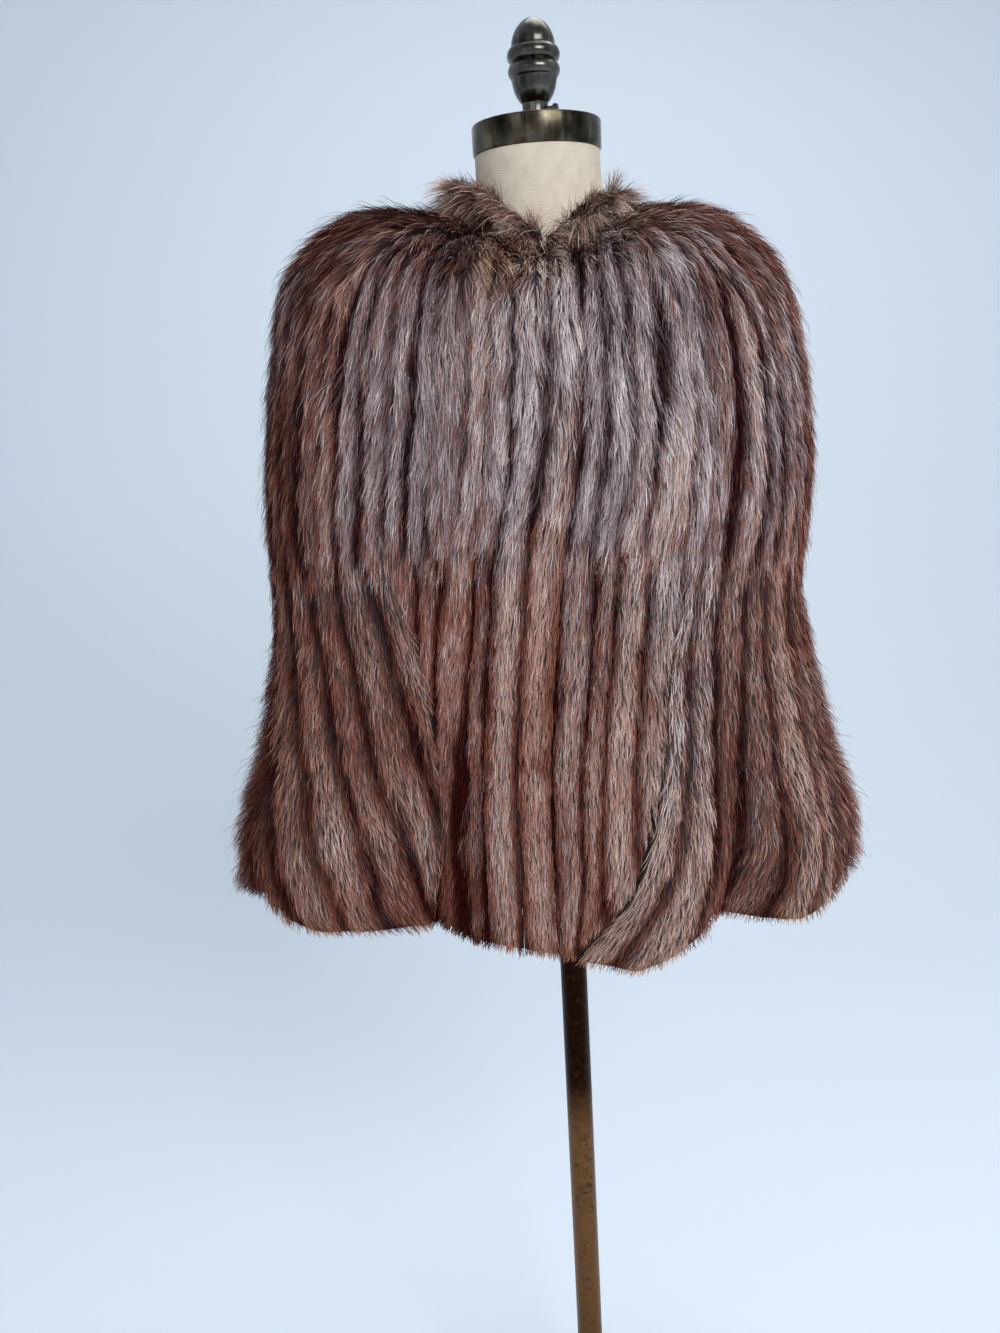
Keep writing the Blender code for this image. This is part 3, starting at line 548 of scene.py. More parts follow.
def fold_depth(girth, row):
    """Outward move of the lower tier's folds, growing from the waist seam to the hem."""
    growth = max(0.0, (row - WAIST_ROW) / (HEM_ROW - WAIST_ROW)) ** FOLD_GROWTH
    turn = wrapped(girth)
    return growth * sum(depth * np.exp(-((turn - place) / width) ** 2) for place, depth, width in FOLDS)


def hem_rise(girth, row):
    """Upward move of the last rows that gives the uneven hem."""
    growth = max(0.0, (row - ROW["thigh"]) / (HEM_ROW - ROW["thigh"]))
    girths, rises = zip(*HEM_LINE)
    return growth * np.interp(wrapped(girth), girths, rises)


def cape_points(girth, row):
    """Inside of the cape at one row."""
    section = section_at(CAPE_SECTIONS, row)
    girth = np.asarray(girth, float)
    points = ring_points(section, girth)
    tangent = ring_points(section, girth + GIRTH_STEP) - ring_points(section, girth - GIRTH_STEP)
    outward = unit(np.stack([tangent[:, 1], -tangent[:, 0], np.zeros(len(tangent))], axis=1))
    points += outward * fold_depth(girth, row)[:, None]
    rows = [ROW[name] for name, _ in LEAN]
    slope = np.interp(row, rows, [value for _, value in LEAN])
    points[:, 2] += hem_rise(girth, row) - slope * points[:, 0]
    return points


def unit(vectors):
    """Vectors scaled to length one."""
    return vectors / np.maximum(np.linalg.norm(vectors, axis=-1, keepdims=True), 1e-12)


def grid_normals(points):
    """Normals of a grid of points, as long as its cells are large."""
    return np.cross(np.gradient(points, axis=0), np.gradient(points, axis=1))


def pile_depth(row):
    """Thickness of skin and hair at a row."""
    if row <= WAIST_ROW:
        return float(np.interp(row, [0.0, 1.5], [PILE_NECK, PILE_FULL]))
    return float(np.interp(row, [WAIST_ROW, WAIST_ROW + 1.0], [PILE_UNDER_TIER, PILE_FULL]))


def lift_growth(row):
    """How much of a slit's lift shows at a row: none at the waist seam, all a little below it."""
    return min(1.0, max(0.0, row - WAIST_ROW) / SLIT_LIFT_ROWS)


def beside(edge, distance):
    """An edge moved along the ring by a distance, + to the wearer's left."""
    def moved(row):
        girth = edge(row)
        return girth + distance * girth_per_metre(section_at(CAPE_SECTIONS, row), girth)
    return moved


def fixed(girth):
    """An edge that keeps one girth."""
    return lambda row: girth


def edge_line(line):
    """A front edge or slit, as its girth by row."""
    return lambda row: edge_girth(line, row)


opening, left_slit, right_slit = (edge_line(line) for line in (FRONT_OPENING, LEFT_SLIT, RIGHT_SLIT))


def smooth(low, high, value):
    """Eased share of the way from low to high."""
    share = np.clip((value - low) / (high - low), 0.0, 1.0)
    return share * share * (3.0 - 2.0 * share)


class Panel(NamedTuple):
    """A fur panel: rows, edges, pelts and drawn locks, a slit's edge and lift, and the run of its seams."""

    name: str
    first_row: float
    last_row: float
    left_edge: object
    right_edge: object
    pelts: int
    locks: int
    left_lift: float = 0.0
    right_lift: float = 0.0
    slit: str = ""
    lines: str = ""

    @property
    def from_neck(self):
        """Whether it starts at the neck, not under the upper tier."""
        return self.first_row == 0.0

    @property
    def to_hem(self):
        """Whether it ends at the hem, not at the waist."""
        return self.last_row == HEM_ROW

    @property
    def slot(self):
        """Its material slot."""
        return "upper_fur" if self.from_neck else "lower_fur"

    @property
    def columns(self):
        """Columns of its grid."""
        return self.pelts * PELT_COLUMNS + 1


# A panel's fine grid, rows by columns: inside points, directions, spacings, pelts, folds and skin
Grid = namedtuple("Grid", "rows girth inner outward down across row_step column_step to_edge phase drift "
                  "grooves crest fold skin")


def sample(field, row, column):
    """A grid's field between its points, rows and columns clipped to the grid."""
    rows, columns = field.shape[:2]
    row = np.clip(row, 0.0, rows - 1.0)
    column = np.clip(column, 0.0, columns - 1.0)
    top = np.minimum(row.astype(int), rows - 2)
    left = np.minimum(column.astype(int), columns - 2)
    down = row - top
    right = column - left
    if field.ndim == 3:
        down = down[:, None]
        right = right[:, None]
    above = field[top, left] * (1 - right) + field[top, left + 1] * right
    below = field[top + 1, left] * (1 - right) + field[top + 1, left + 1] * right
    return above * (1 - down) + below * down


def soft_noise(rng, row, column, rows, columns, cells_down, cells_across):
    """Smooth noise from -1 to 1 over a grid, with so many cells down and across."""
    table = rng.uniform(-1.0, 1.0, (cells_down + 2, cells_across + 2))
    return sample(table, row / rows * cells_down + 0.5, column / columns * cells_across + 0.5)


def crest_at(panel, row, phase, grooves):
    """Place across a pelt as height: 1 on the crest, down to 0 in a deep groove between two pelts."""
    wave = (0.5 - 0.5 * np.cos(2.0 * pi * phase)) ** (UPPER_GROOVE if panel.from_neck else LOWER_GROOVE)
    groove = np.clip(np.rint(phase), 0, grooves.shape[1] - 1).astype(int)
    depth = grooves[np.clip(row, 0, len(grooves) - 1).astype(int), groove]
    return 1.0 - depth * (1.0 - wave)


def plumb_lines(panel, inner, share):
    """Pelts whose seams hang plumb next to the front opening; above the waist they fan to the shoulder."""
    across = inner[:, :, 0]
    front = 0 if panel.lines == "plumb from left" else -1
    reach = np.abs(across - across[:, [front]]) / np.abs(across[:, -1] - across[:, 0]).max()
    even = share if front == 0 else 1.0 - share
    fan = PLUMB_SHARE * (1.0 - even ** 2) if panel.from_neck else 1.0
    lines = even + fan * (reach - even)
    return lines if front == 0 else 1.0 - lines


def swept_lines(panel, girth):
    """Pelts beside the slanting slit: the first grows wide as the slit runs off, the others hang plumb."""
    first = girth[0, 0] + (girth[0, -1] - girth[0, 0]) / panel.pelts
    lines = np.empty_like(girth)
    for row, ring in enumerate(girth):
        line = first + SWEEP_SHARE * (ring[0] - girth[0, 0])
        lines[row] = np.interp(ring, [ring[0], line, ring[-1]],
                               [SLIT_CUT / panel.pelts, SWEPT_PELT / panel.pelts, 1.0])
    return lines


def bent_lines(panel, girth, share):
    """Pelts whose seams bend towards the slit on their right as they near the hem."""
    growth = np.linspace(0.0, 1.0, len(girth))[:, None] ** BEND_POWER
    return share * (1.0 - SLIT_CUT / panel.pelts) - BEND_SHARE * growth * smooth(0.0, 0.6, share)


def pelt_lines(panel, girth, inner, share):
    """How many pelts lie before each point of a panel."""
    if panel.lines.startswith("plumb"):
        lines = plumb_lines(panel, inner, share)
    elif panel.lines == "swept":
        lines = swept_lines(panel, girth)
    elif panel.lines == "bent":
        lines = bent_lines(panel, girth, share)
    else:
        lines = np.tile(share, (len(girth), 1))
    return panel.pelts * lines


def pelt_wander(panel, rng):
    """Uneven widths of the pelts and the slow wander of the seams between them."""
    columns = panel.columns
    row, column = (index.ravel() for index in np.indices((GRID_ROWS, columns)))
    wander = np.zeros(GRID_ROWS * columns)
    for waves, depth in SEAM_WANDER:
        wander += depth * soft_noise(rng, row, column, GRID_ROWS, columns, waves, panel.pelts)
    wander = wander.reshape(GRID_ROWS, columns) * np.sin(pi * np.linspace(0.0, 1.0, columns)) ** 0.3
    jitter = rng.uniform(-PELT_JITTER, PELT_JITTER, panel.pelts + 1)
    jitter[[0, -1]] = 0.0
    return wander + np.interp(np.arange(columns) / PELT_COLUMNS, np.arange(panel.pelts + 1), jitter)


def groove_depths(panel, rng):
    """Depth of each groove between pelts, which comes and goes down its length."""
    rows = np.linspace(0.0, 1.0, GRID_ROWS)
    marks = np.linspace(0.0, 1.0, GROOVE_MARKS)
    weakest, faintest = UPPER_GROOVE_FADES if panel.from_neck else LOWER_GROOVE_FADES
    strength = rng.uniform(weakest, 1.0, panel.pelts + 1)
    fades = rng.uniform(faintest, 1.0, (panel.pelts + 1, GROOVE_MARKS))
    return np.stack([own * np.interp(rows, marks, fade) for own, fade in zip(strength, fades)], axis=1)


def lay_inside(panel, rows, share):
    """Girths, points and folds of a panel on the cape's inside, with the lift beside its slit."""
    girth, lift, fold = (np.empty((GRID_ROWS, panel.columns)) for _ in range(3))
    inner = np.empty((GRID_ROWS, panel.columns, 3))
    for index, row in enumerate(rows):
        start = panel.left_edge(row)
        end = panel.right_edge(row)
        girth[index] = start + (end - start) * share
        inner[index] = cape_points(girth[index], row)
        fold[index] = fold_depth(girth[index], row)
        near_left = np.exp(-((girth[index] - start) / SLIT_LIFT_REACH) ** 2)
        near_right = np.exp(-((girth[index] - end) / SLIT_LIFT_REACH) ** 2)
        lift[index] = lift_growth(row) * (panel.left_lift * near_left + panel.right_lift * near_right)
    inner += unit(grid_normals(inner)) * lift[:, :, None]
    return girth, inner, fold


def skin_depths(panel, rows, crest, to_edge):
    """Thickness of the skin under the hair: ridged, thin at the upper tier's edge and rolled at the hem."""
    thickness = np.array([pile_depth(row) for row in rows])[:, None] / PILE_FULL
    skin = (SKIN_DEPTH + SKIN_RIDGE * crest) * thickness
    if panel.name == "front_edge_left":
        skin *= STRIP_RAISE
    if panel.to_hem:
        skin *= np.sqrt(1.0 - (1.0 - np.clip(to_edge / HEM_ROLL, HEM_EDGE_SHARE, 1.0)) ** 2)
    else:
        skin *= TIER_EDGE_SHARE + (1.0 - TIER_EDGE_SHARE) * smooth(0.0, TIER_TAPER, to_edge)
    return skin


def lay_grid(panel, rng):
    """Works out the fine grid of a panel on the cape's inside."""
    rows = np.linspace(panel.first_row, panel.last_row, GRID_ROWS)
    share = np.linspace(0.0, 1.0, panel.columns)
    girth, inner, fold = lay_inside(panel, rows, share)
    fall = np.gradient(inner, axis=0)
    spread = np.gradient(inner, axis=1)
    row_step = np.linalg.norm(fall, axis=2)
    travelled = np.concatenate([np.zeros((1, panel.columns)), np.cumsum(row_step[:-1], axis=0)])
    to_edge = travelled[-1] - travelled
    lines = pelt_lines(panel, girth, inner, share)
    drift = -np.gradient(lines, axis=0) / np.maximum(np.gradient(lines, axis=1), 0.02)
    phase = lines + pelt_wander(panel, rng)
    grooves = groove_depths(panel, rng)
    crest = crest_at(panel, np.arange(GRID_ROWS)[:, None], phase, grooves)
    return Grid(rows, girth, inner, unit(np.cross(fall, spread)), unit(fall), unit(spread), row_step,
                np.linalg.norm(spread, axis=2), to_edge, phase, drift, grooves, crest, fold,
                skin_depths(panel, rows, crest, to_edge))


def new_object(name, mesh):
    """An object of a mesh, in the scene."""
    piece = bpy.data.objects.new(name, mesh)
    bpy.context.collection.objects.link(piece)
    return piece


def shell_faces(rows, columns):
    """Faces of a closed wall of two grids: inside, outside and rim."""
    index = np.arange(rows * columns).reshape(rows, columns)
    a, b, c, d = (index[:-1, :-1], index[:-1, 1:], index[1:, 1:], index[1:, :-1])
    inside = np.stack([a, b, c, d], axis=-1).reshape(-1, 4)
    outside = inside[:, ::-1] + rows * columns
    edge = np.concatenate([index[0, ::-1], index[1:, 0], index[-1, 1:], index[-2::-1, -1]])
    rim = np.stack([edge[:-1], edge[1:], edge[1:] + rows * columns, edge[:-1] + rows * columns], axis=-1)
    return inside, outside, rim


def shell_object(name, inner, outer, outside_material, inside_material):
    """A closed wall from two grids of points, its inside in another material."""
    rows, columns = inner.shape[:2]
    inside, outside, rim = shell_faces(rows, columns)
    points = np.concatenate([inner.reshape(-1, 3), outer.reshape(-1, 3)])
    mesh = bpy.data.meshes.new(name)
    faces = np.concatenate([outside, rim, inside])
    mesh.from_pydata(points.tolist(), [], faces.tolist())
    mesh.materials.append(outside_material)
    mesh.materials.append(inside_material)
    slots = np.zeros(len(faces), np.int32)
    slots[len(outside) + len(rim):] = 1
    mesh.polygons.foreach_set("material_index", slots)
    mesh.shade_smooth()
    mesh.set_sharp_from_angle(angle=radians(50.0))
    return new_object(name, mesh)


def mark_pelts(skin, crest):
    """Gives a skin's points their place across the pelt, for the colour of the wool and its painted shade in
    the grooves.
    """
    marks = skin.data.attributes.new("pelt", "FLOAT", "POINT")
    marks.data.foreach_set("value", np.tile(crest.ravel(), 2).astype(np.float32))


def palette():
    """Hair colours, coats by shades by steps along a hair, in linear red, green, blue and alpha."""
    colours = np.ones((len(COATS), SHADES, len(HAIR_STEPS), 4))
    for coat, stops in enumerate(COATS.values()):
        stops = np.array([linear(stop) for stop in stops])
        for shade in range(SHADES):
            body = [np.interp(shade / (SHADES - 1), [0.0, 0.5, 1.0], channel) for channel in stops.T]
            colours[coat, shade, :, :3] = np.outer(HAIR_SHADE, body)
    return colours.reshape(-1, len(HAIR_STEPS), 4)


PALETTE = palette()


def hair_object(name, points, side, width, column, material):
    """Locks as tapering ribbons in one mesh, each coloured from one column of the palette.

    The bake map gives each palette column its own strip, so that locks of one colour share it.
    """
    count = len(points)
    size = len(LOCK_STEPS)
    corners = np.empty((count, size, 3))
    for step, taper in enumerate(HAIR_TAPER):
        half = side * (0.5 * taper * width)[:, None]
        corners[:, 2 * step] = points[:, step] - half
        corners[:, 2 * step + 1] = points[:, step] + half
    corners[:, -1] = points[:, -1]
    order = np.arange(count)[:, None]
    loops = (LOCK_LOOPS + size * order).ravel()
    starts = (LOCK_FACES + len(LOCK_LOOPS) * order).ravel()
    mesh = bpy.data.meshes.new(name)
    mesh.vertices.add(count * size)
    mesh.vertices.foreach_set("co", corners.astype(np.float32).ravel())
    mesh.loops.add(len(loops))
    mesh.loops.foreach_set("vertex_index", loops.astype(np.int32))
    mesh.polygons.add(len(starts))
    mesh.polygons.foreach_set("loop_start", starts.astype(np.int32))
    mesh.update(calc_edges=True)
    colours = mesh.color_attributes.new("hair", "FLOAT_COLOR", "POINT")
    colours.data.foreach_set("color", PALETTE[column][:, LOCK_STEPS].astype(np.float32).ravel())
    maps = np.empty((count, size, 2))
    maps[:, :, 0] = (column[:, None] + LOCK_ACROSS) / len(PALETTE)
    maps[:, :, 1] = HAIR_STEPS[LOCK_STEPS]
    layer = mesh.uv_layers.new(name="OFBake")
    layer.data.foreach_set("uv", maps.reshape(-1, 2)[loops].astype(np.float32).ravel())
    mesh.materials.append(material)
    return new_object(name, mesh)


# Roots of a panel's locks on its grid, with what the grid gives there and the tuft of each
Locks = namedtuple("Locks", "row column cape_row turn crest phase row_step column_step to_edge fold "
                   "middle_row middle_column tuft")


def scatter(grid, count, rng):
    """Random places on a grid, evenly over its area, as fractional rows and columns."""
    area = (grid.row_step * grid.column_step)[:-1, :-1].ravel()
    cells = rng.choice(len(area), count, p=area / area.sum())
    columns = grid.inner.shape[1] - 1
    return cells // columns + rng.random(count), cells % columns + rng.random(count)


def clumps(grid, row, column, rng):
    """Groups locks into tufts: the tuft's middle as row and column, and its own random numbers."""
    columns = grid.inner.shape[1]
    along = sample(grid.to_edge, np.zeros_like(row), column) - sample(grid.to_edge, row, column)
    lanes = (columns - 1) // PELT_COLUMNS * CLUMPS_PER_PELT
    lane_width = PELT_COLUMNS / CLUMPS_PER_PELT
    lane = np.clip((column / lane_width).astype(int), 0, lanes - 1)
    shift = rng.random(lanes)
    cell = (along / CLUMP_LENGTH + shift[lane]).astype(int)
    table = rng.random((lanes, cell.max() + 1, 5))[lane, cell]
    middle_along = (cell - shift[lane] + 0.3 + 0.7 * table[:, 0]) * CLUMP_LENGTH
    middle_row = row + (middle_along - along) / sample(grid.row_step, row, column)
    middle_column = (lane + 0.2 + 0.6 * table[:, 1]) * lane_width
    return middle_row, middle_column, table[:, 2:]


def root_locks(panel, grid, rng):
    """Places a panel's locks; the lower tier's first ones start under the upper tier."""
    row, column = scatter(grid, panel.locks, rng)
    first_step = sample(grid.row_step, row, column)
    if not panel.from_neck:
        row = row - TIER_TUCK * (1.0 - smooth(0.0, TIER_TUCK_REACH, row * first_step)) / first_step
    phase, column_step, to_edge, fold, girth = (
        sample(field, row, column)
        for field in (grid.phase, grid.column_step, grid.to_edge, grid.fold, grid.girth))
    return Locks(row, column, np.interp(row, np.arange(GRID_ROWS), grid.rows), wrapped(girth),
                 crest_at(panel, row, phase, grid.grooves), phase, first_step, column_step, to_edge, fold,
                 *clumps(grid, row, column, rng))


def over_panel(panel, locks, rng, cells_down, cells_across):
    """Smooth noise over a panel, read at its locks."""
    return soft_noise(rng, locks.row, locks.column, GRID_ROWS, panel.columns, cells_down, cells_across)


def strip_marks(row):
    """Shade and warmth of the strip along the left front edge: short red pelts, with painted shade at each
    joint.
    """
    red = smooth(2.6, 3.6, row)
    shade = STRIP.shade * red
    for joint in STRIP_JOINTS:
        # painted shade in the crease just above each joint
        shade -= JOINT_PAINTED_SHADE * smooth(joint - 0.20, joint - 0.05, row) * (row < joint)
        shade += JOINT_LIGHT * (1.0 - smooth(joint, joint + 0.4, row)) * (row >= joint)
    return shade, STRIP.warmth * red


def edge_marks(panel, locks):
    """Shade and warmth that single panels add at the front opening, the slits and the right hem, some as
    painted shadow.
    """
    from_left = locks.column * locks.column_step
    if panel.name == "front_edge_left":
        return strip_marks(locks.cape_row)
    if panel.name == "front_edge_right":
        # painted shadow under the left strip, where it lies over this edge
        under = 1.0 - smooth(0.002, 0.008, (PELT_COLUMNS - locks.column) * locks.column_step)
        return under * np.where(locks.cape_row > STRIP_OVER_ROW, STRIP_PAINTED_SHADOW, ABOVE_STRIP), 0.0
    if panel.name == "front_lower_right":
        share = (1.0 - smooth(0.020, 0.050, from_left)) * smooth(8.4, 9.4, locks.cape_row)
        # painted shadow where the front shows behind the side panel's edge, with redder hair
        tint = SLIT_SHADOW
    elif panel.name == "side_lower_left":
        share = 1.0 - smooth(0.030, 0.065, from_left)
        tint = SLIT_LIGHT
    elif panel.name == "side_lower_right":
        share = 1.0 - smooth(0.04, 0.12, locks.to_edge)
        tint = RIGHT_HEM
    else:
        return 0.0, 0.0
    return tint.shade * share, tint.warmth * share


def ruff(locks):
    """How far a lock belongs to the tousled fur below the collar, lower on the wearer's right."""
    lower_side = smooth(-0.02, 0.06, -locks.turn) * (1.0 - smooth(0.35, 0.60, -locks.turn))
    return 1.0 - smooth(0.3 + 0.4 * lower_side, 1.5 + 0.6 * lower_side, locks.cape_row)


def zones_of(locks):
    """How far each lock belongs to each zone of the cape, from 0 to 1; side and right fade to the back."""
    turn = np.abs(locks.turn)
    lower = smooth(WAIST_ROW - 2.0, WAIST_ROW + 1.6, locks.cape_row)
    ahead = 1.0 - smooth(0.55, 0.85, turn)
    return {
        "side": smooth(0.14, 0.40, turn) * (0.3 + 0.7 * ahead),
        "right": smooth(0.08, 0.34, -locks.turn) * ahead,
        "left": smooth(0.0, 0.12, locks.turn) * ahead * (1.0 - lower),
        "neck": ruff(locks),
        "lower": lower,
        "shoulder": smooth(0.13, 0.30, turn) * (1.0 - smooth(2.0, 4.0, locks.cape_row)),
    }


def lock_shades(panel, locks, zones, pelt, rng):
    """Shade of each lock before its zone's tint: light ridges and dark grooves, partly painted, and painted
    folds.
    """
    neck, lower, shoulder = (zones[name] for name in ("neck", "lower", "shoulder"))
    # ridges lighter and grooves darker: partly the pelts' own colour, partly painted light and shade on their
    # relief
    ridge = smooth(0.15, 0.95, locks.crest)
    shade = (RIDGE_SHADE - 0.06 * lower) * (ridge + 0.6 * neck * (0.62 - ridge))
    shade += rng.normal(0.0, PELT_SHADE, panel.pelts)[pelt]
    # painted light on the folds' ridges and painted shade in their hollows
    shade += FOLD_PAINTED_SHADING * np.clip(locks.fold / FOLD_FULL, -1.0, 1.0)
    shade += PLACE_SHADE * over_panel(panel, locks, rng, 7, panel.pelts)
    shade += (TUFT_SHADE - 0.08 * lower + 0.24 * shoulder) * (locks.tuft[:, 0] - 0.5)
    shade += rng.normal(0.0, LOCK_SHADE, panel.locks) * (1 - 0.5 * lower)
    light = rng.random(panel.locks) < LIGHT_LOCKS
    # fewer light locks in the grooves, part of their painted shade
    shade += (LIGHT_SHADE - 0.10 * lower) * light * (0.2 + 0.8 * ridge)
    return shade + RUFF_SHADE * neck * (locks.tuft[:, 2] - 0.44)


def lock_warmths(panel, locks, zones, pelt, rng):
    """Warmth of each lock before its zone's tint: uneven by pelt and lock, cooler on the right shoulder."""
    warm = BASE_WARMTH - 0.16 * zones["right"] * zones["shoulder"]
    warm += rng.normal(0.0, PELT_WARMTH, panel.pelts)[pelt] + rng.normal(0.0, LOCK_WARMTH, panel.locks)
    return warm + PLACE_WARMTH * over_panel(panel, locks, rng, 5, max(2, panel.pelts // 2))


def coat_columns(panel, locks, rng):
    """Palette column of each lock, from the panel, the place on it, its pelt and its tuft."""
    pelt = np.clip(locks.phase.astype(int), 0, panel.pelts - 1)
    zones = zones_of(locks)
    neck = zones["neck"]
    shade = lock_shades(panel, locks, zones, pelt, rng)
    warm = lock_warmths(panel, locks, zones, pelt, rng)
    # the zones' shade on the sides and on each half of the front is painted shade
    for name, tint in ZONE_TINTS.items():
        fade = 1 - 0.5 * zones["lower"] if name == "right" else 1.0
        shade += tint.shade * zones[name] * fade
        warm += tint.warmth * zones[name]
    edge_shade, edge_warm = edge_marks(panel, locks)
    shade += edge_shade
    warm += edge_warm
    taupe, brown, russet = (COAT_NAMES.index(name) for name in ("taupe", "brown", "russet"))
    coat = np.where(warm < BROWN_FROM, taupe, np.where(warm < RUSSET_FROM, brown, russet))
    if panel.to_hem:
        # painted shade in a band a little above the rolled hem's edge
        line = (1.0 - smooth(0.006, 0.026, locks.to_edge)) * smooth(0.0, 0.006, locks.to_edge)
        shade -= HEM_PAINTED_SHADE * line
        hem = rng.random(panel.locks) < HEM_LOCKS * (1.0 - smooth(0.006, 0.028, locks.to_edge))
        coat = np.where(hem, COAT_NAMES.index("hem"), coat)
    curly = rng.random(panel.locks) < CURLY_LOCKS * neck
    coat = np.where(curly, COAT_NAMES.index("collar"), coat)
    under_collar = smooth(0.07, 0.10, -locks.turn) * (1.0 - smooth(0.16, 0.20, -locks.turn)) * neck
    coat = np.where(rng.random(panel.locks) < RUST_LOCKS * under_collar, COAT_NAMES.index("hem"), coat)
    return coat * SHADES + shade_level(shade)


def shade_level(shade):
    """The nearest of a coat's shades."""
    return np.clip(np.rint(shade * (SHADES - 1)), 0, SHADES - 1).astype(int)


def lock_lengths(panel, locks, rng):
    """Length of each lock, cut back where it would pass the panel's lower edge by more than its overhang."""
    neck = 1.0 - smooth(0.2, 1.3, locks.cape_row)
    length = HAIR_LENGTH * rng.uniform(*LENGTH_SPREAD, panel.locks) * (0.8 + 0.4 * locks.tuft[:, 1])
    length *= 1.0 - 0.3 * neck - 0.25 * smooth(WAIST_ROW - 0.5, WAIST_ROW + 1.0, locks.cape_row)
    overhang = HEM_OVERHANG if panel.to_hem else TIER_OVERHANG
    overhang = overhang * (0.60 + 0.40 * over_panel(panel, locks, rng, 3, 2 * panel.pelts))
    overhang *= (0.60 + 0.45 * locks.crest) if panel.to_hem else (0.30 + 0.80 * locks.crest)
    longest = locks.to_edge + overhang * rng.uniform(0.1, 1.0, panel.locks)
    return np.minimum(length, np.maximum(SHORTEST_HAIR, longest))


def lock_rises(panel, locks, rng):
    """Height of each lock's tip over the skin, with some that stand up, most of all on the shoulders."""
    turn = np.abs(locks.turn)
    front_ruff = (1.0 - smooth(0.18, 0.34, turn)) * ruff(locks)
    pile = np.interp(locks.cape_row, [0, 1.5, WAIST_ROW - 1, WAIST_ROW, WAIST_ROW + 1],
                     [0.8, 1, 1, 0.75, 0.95])
    rise = HAIR_RISE * pile * rng.uniform(*RISE_SPREAD, panel.locks)
    rise *= (0.75 + 0.5 * locks.tuft[:, 1]) * (1 + front_ruff)
    shoulder = smooth(0.20, 0.42, turn) * (locks.cape_row < WAIST_ROW)
    shoulder_top = shoulder * (1.0 - smooth(1.8, 3.6, locks.cape_row))
    flank = smooth(0.28, 0.46, turn) * smooth(WAIST_ROW, WAIST_ROW + 1.8, locks.cape_row)
    rise *= 1.0 + 0.3 * shoulder_top * locks.tuft[:, 0] + 1.2 * flank
    standing = rng.random(panel.locks) < STANDING_LOCKS + STANDING_ON_SHOULDER * shoulder
    return rise * np.where(standing, STANDING_RISE, 1.0)


def lock_slants(panel, locks, rng):
    """Sideways lean of each lock, as a share of its length; at a slit it leans over the edge."""
    neck = ruff(locks)
    calm = 1.0 - 0.65 * smooth(WAIST_ROW - 1.0, WAIST_ROW + 1.0, locks.cape_row)
    slant = PLACE_SLANT * calm * over_panel(panel, locks, rng, 6, panel.pelts)
    slant += rng.normal(0.0, LOCK_SLANT, panel.locks)
    slant += TUFT_SLANT * calm * (locks.tuft[:, 2] - 0.5) * (1 + 4.5 * neck)
    if panel.slit:
        last = panel.columns - 1
        from_slit = (locks.column if panel.slit == "left" else last - locks.column) * locks.column_step
        slant += (-SLIT_SLANT if panel.slit == "left" else SLIT_SLANT) * (1.0 - smooth(0.0, 0.008, from_slit))
    return slant


def lay_locks(panel, grid, locks, rng):
    """Points along each lock, which lies down its pelt and draws in to the middle of its tuft."""
    rows, columns = grid.inner.shape[:2]
    count = panel.locks
    length = lock_lengths(panel, locks, rng)
    rise = lock_rises(panel, locks, rng)
    slant = lock_slants(panel, locks, rng)
    drift = sample(grid.drift, locks.row, locks.column)
    below = smooth(WAIST_ROW - 1.0, WAIST_ROW + 1.0, locks.cape_row)
    draw_in = rng.uniform(*DRAW_IN, count) * (1.0 - 0.5 * below)
    bend = rng.normal(0.0, LOCK_BEND, count)
    reach = np.full(count, SEAM_OVERHANG)
    if panel.slit:
        reach = SLIT_OVERHANG * (1.0 - 0.70 * smooth(HEM_ROW - 1.4, HEM_ROW - 0.7, locks.cape_row))
    points = np.empty((count, len(HAIR_STEPS), 3))
    for step, share in enumerate(HAIR_STEPS):
        along = length * share
        sideways = slant * along + bend * sin(2.0 * pi * share)
        gather = draw_in * share ** 1.3
        row = locks.row + along / locks.row_step + 0.4 * gather * (locks.middle_row - locks.row)
        column = locks.column + sideways / locks.column_step + gather * (locks.middle_column - locks.column)
        column += drift * (row - locks.row)
        inside_row = np.clip(row, 0.0, rows - 1.0)
        inside_column = np.clip(column, 0.0, columns - 1.0)
        place = sample(grid.inner, inside_row, inside_column)
        place += sample(grid.down, inside_row, inside_column) * ((row - inside_row) * locks.row_step)[:, None]
        spill = np.clip((column - inside_column) * locks.column_step, -reach, reach)
        place += sample(grid.across, inside_row, inside_column) * spill[:, None]
        height = sample(grid.skin, inside_row, inside_column) + rise * (1.0 - (1.0 - share) ** 2) - ROOT_DEPTH
        if panel.slit:
            height -= SLIT_DIP * np.abs(spill)
        points[:, step] = place + sample(grid.outward, inside_row, inside_column) * height[:, None]
    return points


def grow_panel(panel, grid, material, rng):
    """The hair of a panel: locks that lie down the pelts, drawn together into tufts."""
    locks = root_locks(panel, grid, rng)
    points = lay_locks(panel, grid, locks, rng)
    roll = rng.uniform(-LOCK_ROLL, LOCK_ROLL, panel.locks)[:, None]
    side = sample(grid.across, locks.row, locks.column) * np.cos(roll)
    side += sample(grid.outward, locks.row, locks.column) * np.sin(roll)
    width = LOCK_WIDTH * rng.uniform(*WIDTH_SPREAD, panel.locks)
    return hair_object(panel.name + "_fur", points, side, width, coat_columns(panel, locks, rng), material)


def along_slit(slit, side, places):
    """An edge of a slit: its place at each of SLIT_ROWS, on the wearer's left (+1) or right (-1) of it."""
    def moved(row):
        return beside(slit, side * float(np.interp(row, SLIT_ROWS, places)))(row)
    return moved


